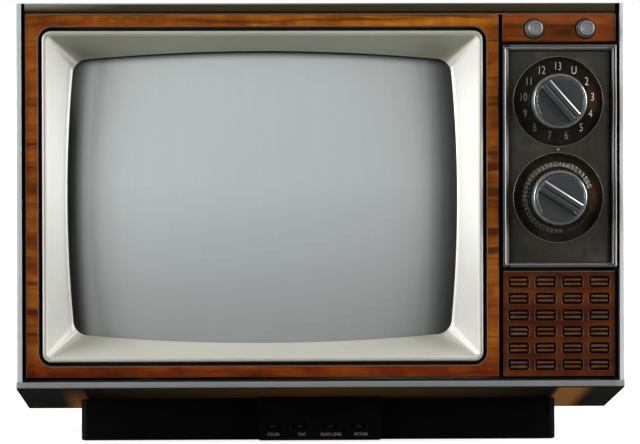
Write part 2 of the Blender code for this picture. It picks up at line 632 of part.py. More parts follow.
def build_pod():
    low, back = BASE_LOW + GAP, BASE_FRONT - GAP
    profile = [(POD_FRONT, low), (POD_FRONT, underside(POD_FRONT) - GAP),
               (back, underside(BASE_FRONT) - GAP), (back, low)]
    pod = put("control_pod", prism_x(profile, -POD_HALF_W, POD_HALF_W), "black_plastic")
    half_w = POD_HALF_W - POD_WALL
    cut(pod, "cut_pod", box(-half_w, half_w, POD_FRONT + POD_WALL, 110, low + POD_WALL, 28.0))
    board = put("control_board", box(-57, 57, 79.5, 98.0, 6.4, 8.0), "board")
    wheel_profile = [(WHEEL_BORE, WHEEL_LOW), (WHEEL_R, WHEEL_LOW),
                     (WHEEL_R, WHEEL_HIGH), (WHEEL_BORE, WHEEL_HIGH)]
    for i, (name, x) in enumerate(WHEELS.items()):
        cut(pod, f"cut_pod_{i}", box(x - 7.9, x + 7.9, 60, 82, WHEEL_LOW - 0.8, WHEEL_HIGH + 0.8))
        add(board, f"add_post_w{i}", cylinder(WHEEL_POST_R, 7.0, 20.0, 10, "Z"), (x, WHEEL_Y, 0))
        axis = empty(f"{name}_axis", (x, WHEEL_Y, 0), SET)
        put(name, lathe(wheel_profile, 18, "Z"), "black_plastic", axis)


# ---------------------------------------------------------------- back cover
COVER_FRONT = SHELL_BACK + GAP
COVER_STATIONS = (  # half width, bottom, top, corner radius, y: inside forwards, outside back
    (234.6, 64.5, 369.5, 20, COVER_BACK - 3), (284.5, 41, 413, 9, 348.5),
    (286.5, 41, 413, 9, COVER_FRONT), (302, 29.5, 441.5, 5, COVER_FRONT),
    (302, 29.5, 441.5, 5, 304.8), (290, 38, 416.5, 12, 304.8),
    (288, 38, SHELF_Z, 12, 350.0), (238, 62, 372, 22, COVER_BACK))
HUMP_BACK = 447.0
HUMP_HALF, HUMP_Y, HUMP_TAPER = 74, 385, 0.32  # half size at HUMP_Y, and its loss per mm of depth
VENT_COLUMNS = ((-190, 72), (75, 84), (172, 84))  # centre x, length
VENT_ROWS, VENT_LOW, VENT_PITCH = 8, 160, 24.0
CORD_HOLE = (-215, 92)  # (x, z)
HOLD_AT = (190, 0, 118)  # vertical hold


def hump(y, inset):
    half = HUMP_HALF - inset - (y - HUMP_Y) * HUMP_TAPER
    return level(rounded(*SCREEN_CENTRE, half, half, 14), y)


def build_back_cover():
    back = put("back_cover", loft([
        level(rounded(0, (low + high) / 2, half_w, (high - low) / 2, radius), y)
        for half_w, low, high, radius, y in COVER_STATIONS]), "brown_plastic", smooth=30)
    end = level(rounded(*SCREEN_CENTRE, 52, 52, 12), HUMP_BACK)
    add(back, "add_hump", loft([hump(COVER_BACK - 2, 0), hump(HUMP_BACK - 4, 0), end]))
    cut(back, "cut_hump", loft([hump(360.0, 3), hump(HUMP_BACK - 4.5, 3)]))
    vents = bmesh.new()
    for x, length in VENT_COLUMNS:
        for row in range(VENT_ROWS):
            z = VENT_LOW + row * VENT_PITCH
            add_block(vents, (x, COVER_BACK - 2, z), (length, 20.0, 7.0))
    cut(back, "cut_vents", vents)
    cut(back, "cut_cord", cylinder(3.6, 370, 410, 12), (CORD_HOLE[0], 0, CORD_HOLE[1]))
    cut(back, "cut_hold", cylinder(4.2, 370, 410, 12), HOLD_AT)


def build_back_fittings():
    axis = empty("vertical_hold_axis", HOLD_AT, SET)
    shoulder = COVER_BACK + 0.5
    hold_profile = [(3.0, 372.0), (3.0, shoulder), (7.5, shoulder), (7.5, 402.0), (6.6, 403.5)]
    put("vertical_hold_knob", rod(hold_profile, 18), "black_plastic", axis, smooth=40)

    terminals = put("antenna_terminals", box(80, 160, COVER_BACK + GAP, COVER_BACK + 4.3,
                                             84, 128, 1.0), "bakelite")
    for i, x in enumerate((94, 110, 131, 147)):
        add(terminals, f"add_screw_{i}", cylinder(3.8, COVER_BACK + 3, COVER_BACK + 6.8, 8),
            (x, 0, 106))


# ---------------------------------------------------------------- antenna lead
LEAD_LEFT, LEAD_W, LEAD_THICKNESS = 116.5, 9.2, 1.7
LEAD_PATH = (  # (y, z), from the shelf down the back
    (337.5, 417.2), (347.5, 417.2), (352.5, 415.9), (356.0, 413.2),
    (COVER_BACK + 0.6, 375.8), (COVER_BACK + 2.2, 370.0), (COVER_BACK + 2.2, 150.0),
    (COVER_BACK + 4.8, 130.0), (COVER_BACK + 4.8, 116.0))


def ribbon(path, thickness):
    """Outline of a flat lead that follows a (y, z) path, drawn to the left of travel."""
    points = [Vector(point) for point in path]
    directions = [(b - a).normalized() for a, b in zip(points, points[1:])]
    far = []
    for point, before, after in zip(points, directions[:1] + directions,
                                    directions + directions[-1:]):
        along = before + after
        normal = Vector((-along.y, along.x)).normalized()
        mitre = max(0.5, normal.dot(Vector((-before.y, before.x))))
        far.append(point + normal * thickness / mitre)
    return [tuple(point) for point in points + far[::-1]]


def build_twin_lead():
    lead = prism_x(ribbon(LEAD_PATH, LEAD_THICKNESS), LEAD_LEFT, LEAD_LEFT + LEAD_W)
    twin = put("twin_lead", lead, "twin_lead")
    add(twin, "add_lead_run", box(54.4, LEAD_LEFT + 4, 337.8, 346.9, 417.3, 418.8))


# ---------------------------------------------------------------- mains lead
HANK_X, HANK_Z = -150.0, 112.0
TURNS, PER_TURN = 2, 14
PLUG_Y = 419
CORD_START = [(CORD_HOLE[0], 384, CORD_HOLE[1]), (CORD_HOLE[0], 398, CORD_HOLE[1]),
              (-214.5, 402, 94), (-212, 404.5, 98)]
CORD_END = (  # x from the hank's centre, y, z from the hank's centre
    (-54, 425.3, 6), (-49, 424.8, 10), (-42, 423.3, 10), (-34, 421.0, 6),
    (-26, 419.3, 1), (-20, PLUG_Y, 0), (-13.5, PLUG_Y, 0))


def tube(path, radius, sides):
    """Sweeps a round section along a smooth path."""
    points = [Vector(point) for point in path]
    loops, side = [], Vector((1, 0, 0))
    for i, point in enumerate(points):
        ahead, behind = points[min(i + 1, len(points) - 1)], points[max(i - 1, 0)]
        along = (ahead - behind).normalized()
        side = (side - along * side.dot(along)).normalized()
        up = along.cross(side)
        angles = [2 * math.pi * k / sides for k in range(sides)]
        loops.append([point + (side * math.cos(angle) + up * math.sin(angle)) * radius
                      for angle in angles])
    return loft(loops)


def build_mains_lead():
    """The cord leaves the back cover, winds into a hank and ends in the plug."""
    path = list(CORD_START)
    for k in range(TURNS * PER_TURN + 1):
        angle = math.pi + 2 * math.pi * k / PER_TURN
        share = k / (TURNS * PER_TURN)
        path.append((HANK_X + (62 - 6 * share) * math.cos(angle), 405.5 + 19.5 * share,
                     HANK_Z - (24 - 5 * share) * math.sin(angle)))
    path += [(HANK_X + x, y, HANK_Z + z) for x, y, z in CORD_END]
    put("mains_cord", tube(path, 2.9, sides=5), "rubber", smooth=50)

    plug_at = (HANK_X, PLUG_Y, HANK_Z)
    plug = put("mains_plug", box(-13, 13, -7, 7, -9, 9, 2.0), "rubber", at=plug_at)
    for side in (-5, 5):
        y = side * 0.9
        add(plug, f"add_blade_{side}", box(11, 30, y - 0.8, y + 0.8, -3, 3), plug_at)


# ---------------------------------------------------------------- rabbit ears antenna
PIVOT_X, PIVOT_Y, PIVOT_Z = 26.0, 327.0, 433.0
ROD_WALL = 0.4
ROD_SECTIONS = (  # outer radius, start and end measured from the pivot
    (3.5, 12.0, 250.0), (2.8, 20.0, 252.0), (2.1, 22.0, 254.0), (1.4, 24.0, 256.0))


def build_swivel(side, swivel_axis):
    """Turret with two cheeks and a cross pin for the rod."""
    turret = put(f"{side}_swivel", cylinder(7.1, -11.9, -4.4, 16, "Z"), "black_plastic",
                 swivel_axis, smooth=40)
    for k, y in enumerate((-4.4, 2.1)):
        add(turret, f"add_{side}_cheek_{k}", box(-4.5, 4.5, y, y + 2.3, -6.0, 4.6),
            parent=swivel_axis)
    add(turret, f"add_{side}_pin", cylinder(1.25, -4.9, 4.9, 8), parent=swivel_axis)


def build_telescopic_rod(side, tilt_axis):
    """Four nested sections along +X of the tilt axis; the last is solid with a button end."""
    for number, (outer, start, end) in enumerate(ROD_SECTIONS, 1):
        bore = outer - ROD_WALL
        if number == 1:
            solid = rod([(outer, start), (outer, end), (bore, end), (bore, start + 6)], 12, "X")
        elif number < len(ROD_SECTIONS):
            solid = lathe([(bore, start), (outer, start), (outer, end), (bore, end)], 12, "X")
        else:
            solid = rod([(outer, start), (outer, end), (3.4, end + 0.4), (3.7, end + 1.6),
                         (3.7, end + 5.6), (2.8, end + 7.4)], 12, "X")
        section = put(f"{side}_rod_{number}", solid, "chrome", tilt_axis, smooth=40)
        if number == 1:
            add(section, f"add_{side}_tab", box(-2.9, start + 4, -1.7, 1.7, -3.0, 3.0),
                parent=tilt_axis)
            cut(section, f"cut_{side}_eye", cylinder(1.6, -6, 6, 12), parent=tilt_axis)


def build_antenna():
    stations = ((0.8, 0), (10.5, 0), (12.3, 1.8))  # height above the shelf, inset
    mount = put("antenna_base", loft([
        plan(rounded(0, PIVOT_Y, 54 - inset, 18 - inset, 7 - inset), SHELF_Z + height)
        for height, inset in stations]), "black_plastic", smooth=40)
    for side, sign, turn in (("left", -1, math.pi), ("right", 1, 0)):
        x = sign * PIVOT_X
        cut(mount, f"cut_socket_{side}", cylinder(7.5, SHELF_Z + 4.6, 450, 16, "Z"),
            (x, PIVOT_Y, 0))
        swivel_axis = empty(f"{side}_swivel_axis", (x, PIVOT_Y, PIVOT_Z), SET)
        build_swivel(side, swivel_axis)
        tilt_axis = empty(f"{side}_tilt_axis", (0, 0, 0), swivel_axis, turn)
        build_telescopic_rod(side, tilt_axis)


build_cabinet()
build_front_panels()
build_carrier()
build_mask()
build_faceplate()
build_funnel()
build_band()
build_neck_parts()
build_tuner_panel()
build_vhf_control()
build_uhf_control()
build_small_knobs()
build_loudspeaker()
build_tuners()
build_chassis()
build_transformers()
build_pedestal()
build_pod()
build_back_cover()
build_back_fittings()
build_twin_lead()
build_mains_lead()
build_antenna()
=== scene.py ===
"""Looks of a table-top television: detailed surfaces and procedural materials round the CAD frame.

The set faces -Y with its picture left of the tuner, X runs to the right and Z up. Pieces are drawn
in millimetres, with y counted back from the plane of the front rim. Materials work in metres.
"""

import math
from typing import NamedTuple

import bmesh
import bpy
from mathutils import Matrix, Vector


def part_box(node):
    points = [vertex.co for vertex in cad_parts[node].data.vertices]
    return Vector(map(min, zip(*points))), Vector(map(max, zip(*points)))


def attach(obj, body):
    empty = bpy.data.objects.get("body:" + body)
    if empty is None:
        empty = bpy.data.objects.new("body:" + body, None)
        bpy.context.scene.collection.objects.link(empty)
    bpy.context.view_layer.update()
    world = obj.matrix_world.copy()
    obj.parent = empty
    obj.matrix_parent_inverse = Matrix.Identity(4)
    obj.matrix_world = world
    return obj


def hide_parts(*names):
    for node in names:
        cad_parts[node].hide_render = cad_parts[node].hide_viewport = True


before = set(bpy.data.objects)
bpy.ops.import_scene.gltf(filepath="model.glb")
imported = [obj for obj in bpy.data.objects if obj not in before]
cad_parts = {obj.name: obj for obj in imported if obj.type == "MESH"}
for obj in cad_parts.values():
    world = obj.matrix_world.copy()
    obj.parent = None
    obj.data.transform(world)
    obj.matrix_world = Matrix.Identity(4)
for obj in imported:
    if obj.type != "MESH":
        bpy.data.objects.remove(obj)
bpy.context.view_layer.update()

MM = 0.001
RIM_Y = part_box("front_rim")[0].y


class Extent(NamedTuple):
    """A box in millimetres, with y counted back from the front rim's plane."""

    x0: float
    y0: float
    z0: float
    x1: float
    y1: float
    z1: float

    @property
    def cx(self):
        return (self.x0 + self.x1) / 2

    @property
    def cy(self):
        return (self.y0 + self.y1) / 2

    @property
    def cz(self):
        return (self.z0 + self.z1) / 2


def extent(node):
    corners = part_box(node)
    return Extent(*(n for c in corners for n in (c.x * 1000, (c.y - RIM_Y) * 1000, c.z * 1000)))


# ================================================================ driving dimensions
RIM = extent("front_rim")
RIM_LOW, HALF_W, TOP = RIM.z0, RIM.x1, RIM.z1
BEZEL, FASCIA, GRILLE = extent("front_bezel"), extent("control_fascia"), extent("speaker_grille")
TRIM, PANEL, MASK = extent("tuner_trim"), extent("tuner_panel"), extent("picture_mask")
SHELL, COVER = extent("cabinet_shell"), extent("back_cover")
BASE, POD = extent("pedestal_base"), extent("control_pod")
VHF, UHF = extent("vhf_dial"), extent("uhf_dial")
VOLUME, TONE = extent("volume_knob"), extent("tone_knob")

DIAL_X, VHF_Z, UHF_Z = VHF.cx, VHF.cz, UHF.cz
DIAL_MID_Z = (VHF_Z + UHF_Z) / 2
DIAL_Y = VHF.y0
FACE_Y = BEZEL.y0  # front of the wood panels
PANEL_BACK = 13.0
FLOOR_Z, CHIN_BACK = SHELL.z0, 180.0  # the underside slopes down from the rim to here
MASK_C = (MASK.cx, MASK.cz)
MASK_HALF = ((MASK.x1 - MASK.x0) / 2, (MASK.z1 - MASK.z0) / 2)
LIP_C, LIP_HALF = (MASK_C[0] - 0.3, MASK_C[1]), (MASK_HALF[0] - 0.3, MASK_HALF[1])

# Picture opening: centre, half sizes, bow of its sides and corner radius, then the glass dome.
SCREEN_C, SCREEN_HALF, SCREEN_BOW, SCREEN_R = (-58.0, 250.2), (190.4, 138.3), (6.4, 8.6), 12.0
DOME_Y, DOME_RADIUS = 16.0, 900.0

# Every material, by its name.
MATERIALS = {}


# ================================================================ mesh helpers
def put(name, bm, *materials, body="cabinet", replaces=None, smooth=35, bevel=0.0, segments=3,
        angle=32):
    """Makes an object of a bmesh. It rides a body, and replaces a CAD node or takes a finish."""
    for v in bm.verts:
        v.co = Vector((v.co.x * MM, v.co.y * MM + RIM_Y, v.co.z * MM))
    bmesh.ops.recalc_face_normals(bm, faces=bm.faces)
    mesh = bpy.data.meshes.new(name)
    bm.to_mesh(mesh)
    bm.free()
    mesh.shade_smooth()
    mesh.set_sharp_from_angle(angle=math.radians(smooth))
    ob = bpy.data.objects.new(name, mesh)
    bpy.context.scene.collection.objects.link(ob)
    for material in materials:
        mesh.materials.append(MATERIALS[material].data)
    if bevel:
        mod = ob.modifiers.new("edges", "BEVEL")
        mod.width = bevel * MM
        mod.segments = segments
        mod.limit_method = "ANGLE"
        mod.angle_limit = math.radians(angle)
        mod.harden_normals = True
    if body:
        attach(ob, body)
    if replaces:
        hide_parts(replaces)
    return ob


def carve(ob, bm, how="DIFFERENCE"):
    """Cuts or joins a bmesh drawn in millimetres, and keeps the result as the mesh."""
    cutter = put("carve_tool", bm, body=None)
    others = list(ob.modifiers)
    for m in others:
        m.show_viewport = False
    mod = ob.modifiers.new("carve", "BOOLEAN")
    mod.operation = how
    mod.solver = "EXACT"
    mod.object = cutter
    bpy.context.view_layer.update()
    graph = bpy.context.evaluated_depsgraph_get()
    done = bpy.data.meshes.new_from_object(ob.evaluated_get(graph))
    ob.modifiers.remove(mod)
    for m in others:
        m.show_viewport = True
    ob.data = done
    done.shade_smooth()
    done.set_sharp_from_angle(angle=math.radians(35))
    bpy.data.objects.remove(cutter, do_unlink=True)


def add_bands(bm, loops, ring=False):
    """Adds the quads between successive loops and returns the loops' vertices."""
    rows = [[bm.verts.new(p) for p in loop] for loop in loops]
    n = len(rows[0])
    for a, b in list(zip(rows, rows[1:])) + ([(rows[-1], rows[0])] if ring else []):
        for i in range(n):
            j = (i + 1) % n
            bm.faces.new((a[i], a[j], b[j], b[i]))
    return rows


def loft(loops, ring=False):
    """A skin over loops, closed into a ring or capped at both ends."""
    bm = bmesh.new()
    rows = add_bands(bm, loops, ring)
    if not ring:
        bm.faces.new(rows[0][::-1])
        bm.faces.new(rows[-1])
    return bm


def along_x(outline, stations):
    """A (y, z) outline drawn out through x stations."""
    return loft([[(x, y, z) for y, z in outline] for x in stations])


def join(*parts):
    """One bmesh from several that don't touch."""
    out = bmesh.new()
    for part in parts:
        mesh = bpy.data.meshes.new("part")
        part.to_mesh(mesh)
        part.free()
        out.from_mesh(mesh)
        bpy.data.meshes.remove(mesh)
    return out


def block(xs, ys, zs):
    """A plain box between pairs of x, y and z."""
    bm = bmesh.new()
    bmesh.ops.create_cube(bm, size=1.0)
    bmesh.ops.scale(bm, vec=[b - a for a, b in (xs, ys, zs)], verts=bm.verts)
    bmesh.ops.translate(bm, vec=[(a + b) / 2 for a, b in (xs, ys, zs)], verts=bm.verts)
    return bm


def turned(profile, at, axis="Y", steps=96, capped=False, teeth=None):
    """Turns a (radius, distance) outline about an axis through a point.

    The outline closes on itself, unless capped, when its ends become flat discs.
    teeth = (low, high, depth) cuts every other step of the radii between low and high.
    """
    loops = []
    for k in range(steps):
        a = 2 * math.pi * k / steps
        c, s = math.cos(a), math.sin(a)
        loop = []
        for r, d in profile:
            if teeth and k % 2 and teeth[0] < r < teeth[1]:
                r -= teeth[2]
            p = {"Y": (r * c, d, r * s), "Z": (r * c, r * s, d), "X": (d, r * c, r * s)}[axis]
            loop.append(tuple(p[j] + at[j] for j in range(3)))
        loops.append(loop)
    if capped:
        return loft([[loop[i] for loop in loops] for i in range(len(profile))])
    return loft(loops, ring=True)


def cylinder(radius, start, end, at, steps, axis="Y"):
    return turned([(radius, start), (radius, end)], at, axis, steps, capped=True)


def oval(cx, cy, rx, ry, count):
    turns = [2 * math.pi * k / count for k in range(count)]
    return [(cx + rx * math.cos(t), cy + ry * math.sin(t)) for t in turns]


def rounded(cx, cz, hw, hh, r, corner=8, side=1, bow=(0.0, 0.0)):
    """A rounded rectangle from its centre, half sizes and radius, with sides that may bow out."""
    quarters = ((1, 1), (-1, 1), (-1, -1), (1, -1))
    pts = []
    for q, (qx, qz) in enumerate(quarters):
        ox, oz = qx * (hw - r), qz * (hh - r)
        for k in range(corner + 1):
            a = math.radians(90 * q + 90 * k / corner)
            pts.append((ox + r * math.cos(a), oz + r * math.sin(a)))
        nx, nz = quarters[(q + 1) % 4]
        x0, z0 = pts[-1]
        b = math.radians((90 * q + 90) % 360)
        x1, z1 = nx * (hw - r) + r * math.cos(b), nz * (hh - r) + r * math.sin(b)
        for k in range(1, side):
            t = k / side
            pts.append((x0 + (x1 - x0) * t, z0 + (z1 - z0) * t))
    out = []
    for x, z in pts:
        bx = bow[0] / hw * (1 - min(1.0, abs(z) / hh) ** 2)
        bz = bow[1] / hh * (1 - min(1.0, abs(x) / hw) ** 2)
        out.append((cx + x * (1 + bx), cz + z * (1 + bz)))
    return out


def level(loop, y):
    """Places an (x, z) loop at a depth, which may be a function of x and z."""
    return [(x, y(x, z) if callable(y) else y, z) for x, z in loop]


def rect(box, inset=(0, 0, 0, 0), r=0.0, corner=3):
    """Rounded rectangle on a box's front, with its own inset left, right, bottom and top."""
    left, right, bottom, top = inset
    x0, x1, z0, z1 = box.x0 + left, box.x1 - right, box.z0 + bottom, box.z1 - top
    return rounded((x0 + x1) / 2, (z0 + z1) / 2, (x1 - x0) / 2, (z1 - z0) / 2, r, corner)


def underside(y):
    return RIM_LOW - (RIM_LOW - FLOOR_Z) * max(0.0, min(1.0, y / CHIN_BACK))


def dome(x, z):
    r2 = (x - SCREEN_C[0]) ** 2 + (z - SCREEN_C[1]) ** 2
    return DOME_Y + DOME_RADIUS - math.sqrt(DOME_RADIUS**2 - r2)


def on_dome(loop, offset):
    return level(loop, lambda x, z: dome(x, z) + offset)


# ================================================================ node materials
def arithmetic(kind, swapped=False):
    """A method of Value that adds a math node."""

    def apply(self, other=0.0):
        operands = (other, self) if swapped else (self, other)
        return self.material.math(kind, *operands)

    return apply


class Value:
    """An output socket of a material, which arithmetic and comparison can be written on."""

    def __init__(self, material, socket):
        self.material = material
        self.socket = socket

    __add__, __radd__ = arithmetic("ADD"), arithmetic("ADD", swapped=True)
    __sub__, __rsub__ = arithmetic("SUBTRACT"), arithmetic("SUBTRACT", swapped=True)
    __mul__ = arithmetic("MULTIPLY")
    __truediv__ = arithmetic("DIVIDE")
    __gt__ = arithmetic("GREATER_THAN")
    __lt__ = arithmetic("LESS_THAN")
    __abs__ = arithmetic("ABSOLUTE")
    at_least = arithmetic("MAXIMUM")
    root = arithmetic("SQRT")

    def remap(self, start, end, to=(0.0, 1.0), smooth=False):
        kind = "SMOOTHSTEP" if smooth else "LINEAR"
        node = self.material.node("ShaderNodeMapRange", interpolation_type=kind)
        for i, value in enumerate((self, start, end, *to)):
            self.material.feed(node.inputs[i], value)
        return self.material.out(node)

    def over_mm(self, start, end, **options):
        """remap for a coordinate, with its ends in millimetres."""
        return self.remap(start * MM, end * MM, **options)

    def ramp(self, stops, ease="LINEAR"):
        """A colour ramp from (position, colour or grey) stops."""
        node = self.material.node("ShaderNodeValToRGB")
        node.color_ramp.interpolation = ease
        elements = node.color_ramp.elements
        while len(elements) < len(stops):
            elements.new(0.5)
        for i, (position, colour) in enumerate(stops):
            elements[i].position = position
            elements[i].color = rgba(colour if isinstance(colour, tuple) else (colour,) * 3)
        self.material.feed(node.inputs[0], self)
        return self.material.out(node)


def rgba(colour):
    return (*colour, 1.0) if isinstance(colour, tuple) else colour


class Material:
    """A Principled material with helpers that add nodes."""

    def __init__(self, name, colour=(0.5, 0.5, 0.5), rough=0.5, metal=0.0, **inputs):
        MATERIALS[name] = self
        self.data = bpy.data.materials.new(name)
        self.data.use_nodes = True
        self.tree = self.data.node_tree
        self.shader = self.tree.nodes["Principled BSDF"]
        self.colour = colour
        self.set("Roughness", rough)
        self.set("Metallic", metal)
        for key, value in inputs.items():
            self.set(key.replace("_", " "), value)
        self.place = self.out(self.node("ShaderNodeTexCoord"), "Object")

    @property
    def colour(self):
        return Value(self, self.shader.inputs["Base Color"].links[0].from_socket)

    @colour.setter
    def colour(self, value):
        self.set("Base Color", rgba(value))

    def set(self, socket, value):
        self.feed(self.shader.inputs[socket], value)

    def feed(self, socket, value):
        if isinstance(value, Value):
            self.tree.links.new(value.socket, socket)
        else:
            socket.default_value = value

    def node(self, kind, **properties):
        node = self.tree.nodes.new(kind)
        for key, value in properties.items():
            setattr(node, key, value)
        return node

    def out(self, node, key=0):
        return Value(self, node.outputs[key])

    def math(self, operation, a, b):
        node = self.node("ShaderNodeMath", operation=operation)
        self.feed(node.inputs[0], a)
        self.feed(node.inputs[1], b)
        return self.out(node)

    def xyz(self, vector=None):
        node = self.node("ShaderNodeSeparateXYZ")
        self.feed(node.inputs[0], vector or self.place)
        return [self.out(node, i) for i in range(3)]

    def normal(self):
        return self.xyz(self.out(self.node("ShaderNodeNewGeometry"), "Normal"))

    def noise_on(self, vector, detail, rough, distortion=0.0):
        node = self.node("ShaderNodeTexNoise")
        self.feed(node.inputs["Vector"], vector)
        node.inputs["Scale"].default_value = 1.0
        node.inputs["Detail"].default_value = detail
        node.inputs["Roughness"].default_value = rough
        node.inputs["Distortion"].default_value = distortion
        return self.out(node, "Fac")

    def noise(self, scale, offset=(0, 0, 0), *, detail, rough):
        """Noise over the object's coordinates, with one scale or a scale for each axis."""
        node = self.node("ShaderNodeMapping")
        self.feed(node.inputs["Vector"], self.place)
        node.inputs["Scale"].default_value = scale if isinstance(scale, tuple) else (scale,) * 3
        node.inputs["Location"].default_value = offset
        return self.noise_on(self.out(node), detail, rough)

    def mix(self, factor, a, b, mode="MIX"):
        node = self.node("ShaderNodeMix", data_type="RGBA", blend_type=mode)
        self.feed(node.inputs[0], factor)
        self.feed(node.inputs[6], rgba(a))
        self.feed(node.inputs[7], rgba(b))
        return self.out(node, 2)

    def tint(self, base, colour, where=None):
        """Multiplies a colour, everywhere or by a mask."""
        tinted = self.mix(1.0, base, colour, "MULTIPLY")
        return self.mix(where, base, tinted) if where else tinted

    def bump(self, height, strength, distance):
        node = self.node("ShaderNodeBump")
        node.inputs["Strength"].default_value = strength
        node.inputs["Distance"].default_value = distance
        self.feed(node.inputs["Height"], height)
        self.set("Normal", self.out(node))


def srgb(*rgb):
    return tuple(
        c / 255 / 12.92 if c / 255 <= 0.04045 else ((c / 255 + 0.055) / 1.055) ** 2.4 for c in rgb)


# ---------------------------------------------------------------- walnut
# Noise layers: scale along and across the grain, depth, detail, roughness, distortion.
GRAIN = {
    "bands": (1.6, 42.0, 0.0, 2.0, 0.5, 0.4),
    "streak": (3.0, 92.0, 5.0, 2.0, 0.45),
    "fine": (9.0, 620.0, 7.0, 4.0, 0.65),
    "blotch": (26.0, 34.0, 9.0, 3.0, 0.55),
    "figure": (95.0, 16.0, 11.0, 2.0, 0.5),
    "pores": (120.0, 2600.0, 13.0, 2.0, 0.6),
    "hue": (34.0, 58.0, 17.0, 3.0, 0.55),
    "thin": (4.0, 300.0, 23.0, 2.0, 0.5),
    "gloss": (30.0, 300.0, 20.0, 4.0, 0.6),
}


def walnut(name, gain, seed=0.0, specular=0.22, wrapped=False, front=False):
    """Figured walnut with its grain along X: fine lines, dark streaks, mottling, cross figure.

    wrapped lays one sheet across the top and down the sides. front adds the front's changes of tone
    by region.
    """
    m = Material(name)
    x, y, z = m.xyz()
    u, v = x, z
    if wrapped:
        side = abs(m.normal()[0]) > 0.6
        u, v = x * (1.0 - side) + z * side, y

    def sheet(a, b, depth):
        node = m.node("ShaderNodeCombineXYZ")
        m.feed(node.inputs[0], a)
        m.feed(node.inputs[1], b)
        node.inputs[2].default_value = depth + seed
        return m.out(node)

    sway = m.noise_on(sheet(u * 6.0, v * 7.0, 3.3), detail=3.0, rough=0.5)
    warped = v + (sway - 0.5) * 0.022

    def grain(layer):
        along, across, depth, *noise = GRAIN[layer]
        return m.noise_on(sheet(u * along, warped * across, depth), *noise)

    def stain(*rgb):
        return tuple(min(1.0, k * g) for k, g in zip(srgb(*rgb), gain))

    fine, hue, pores = grain("fine"), grain("hue"), grain("pores")
    tone = grain("bands") * 0.46 + (grain("blotch") * 0.34 + fine * 0.20)
    base = tone.ramp([
        (0.36, stain(88, 37, 8)), (0.44, stain(126, 59, 12)), (0.51, stain(150, 78, 17)),
        (0.58, stain(172, 96, 26)), (0.66, stain(138, 66, 14))], "EASE")
    # Patches that lean to red and to gold, dark streaks, then thin dark lines.
    for mask, colour in (
        (hue.remap(0.50, 0.66, to=(0.0, 0.55), smooth=True), stain(122, 44, 9)),
        (hue.remap(0.46, 0.32, to=(0.0, 0.50), smooth=True), stain(172, 104, 22)),
        (grain("streak").remap(0.545, 0.66, to=(0.0, 0.82), smooth=True), stain(66, 25, 6)),
        (grain("thin").remap(0.56, 0.68, to=(0.0, 0.50), smooth=True), stain(84, 34, 8)),
    ):
        base = m.mix(mask, base, colour)
    base = m.tint(base, grain("figure").ramp([(0.30, 0.84), (0.50, 1.0), (0.72, 1.12)]))
    base = m.mix(pores.remap(0.60, 0.72, to=(0.0, 0.35)), base, stain(52, 20, 5))
    if front:
        # The foot is redder and darker, the top rail lighter, and the right edge redder.
        low = z.over_mm(74, 100, to=(1.0, 0.0), smooth=True)
        base = m.tint(base, (0.62, 0.33, 0.10), where=low)
        high = z.over_mm(410, 420, smooth=True) * x.over_mm(184, 176)
        base = m.tint(base, (1.28, 1.36, 0.95), where=high)
        base = m.tint(base, (0.86, 0.50, 0.30), where=x.over_mm(176, 184))
    # Convex edges are worn pale.
    pointed = m.out(m.node("ShaderNodeNewGeometry"), "Pointiness")
    m.colour = m.mix(pointed.remap(0.52, 0.60) * 0.25, base, stain(186, 128, 76))
    m.set("Roughness", grain("gloss").remap(0.3, 0.7, to=(0.34, 0.50)))
    m.set("Specular IOR Level", specular)
    relief = fine * 0.5 + pores.remap(0.60, 0.72, to=(1.0, 0.0)) * 0.5
    m.bump(relief, strength=0.18, distance=0.00015)
    return m


def bar_walnut():
    """Walnut of the grille's bars, with grey-brown patches."""
    m = walnut("walnut_bars", gain=(0.36, 0.34, 0.50), seed=6.0)
    patch = m.noise((45, 45, 130), (5, 1, 2), detail=2.0, rough=0.5)
    mask = patch.remap(0.46, 0.62, to=(0.0, 0.75), smooth=True)
    m.colour = m.mix(mask, m.colour, (0.105, 0.072, 0.048))


# Stain of the underside with painted shade and painted reflections, from the left end to the right:
# darker at the ends, a brown sheen across the middle and a gold glint near the right end.
UNDERSIDE_STAIN_SHADE_AND_SHEEN = [
    (0.0, (0.0085, 0.008, 0.006)), (0.11, (0.030, 0.026, 0.014)), (0.17, (0.135, 0.100, 0.036)),
    (0.32, (0.33, 0.19, 0.060)), (0.50, (0.68, 0.27, 0.060)), (0.62, (0.52, 0.27, 0.075)),
    (0.76, (0.30, 0.22, 0.085)), (0.865, (0.080, 0.068, 0.032)), (0.884, (0.045, 0.040, 0.020)),
    (0.892, (0.46, 0.20, 0.044)), (0.930, (0.50, 0.24, 0.060)), (0.940, (0.20, 0.095, 0.026)),
    (0.953, (0.024, 0.022, 0.012)), (1.0, (0.009, 0.0085, 0.006))]


def cabinet_walnut():
    """Walnut wrap whose underside is stained dark, with painted shade and painted reflections, among
    them a gold glint near its right end.
    """
    gain = (0.62, 0.60, 0.70)
    m = walnut("walnut_wrap", gain, seed=8.0, specular=0.35, wrapped=True)
    down = m.normal()[2].remap(-0.30, -0.12, to=(1.0, 0.0))
    stain = m.xyz()[0].over_mm(-305, 305).ramp(UNDERSIDE_STAIN_SHADE_AND_SHEEN)
    m.colour = m.mix(down, m.colour, stain)
    # Two painted reflections glow faintly: the gold glint near the right end, and one near the left
    # end that fades forward.
    x = m.xyz()[0]
    right = x.over_mm(237.5, 241.5) * x.over_mm(258, 277, to=(1.0, 0.0), smooth=True)
    left = x.over_mm(-266, -250, to=(0.0, 0.8), smooth=True)
    left = left * x.over_mm(-240, -236, to=(1.0, 0.0))
    left = left * m.xyz()[1].remap(RIM_Y + 0.02, RIM_Y + 0.15, to=(0.15, 1.0))
    m.set("Emission Color", (0.128, 0.050, 0.0105, 1.0))
    m.set("Emission Strength", down * (right + left))


walnut("walnut_front", gain=(0.95, 1.04, 1.02), front=True)
walnut("walnut_grille", gain=(0.30, 0.24, 0.30), seed=4.0)
bar_walnut()
cabinet_walnut()


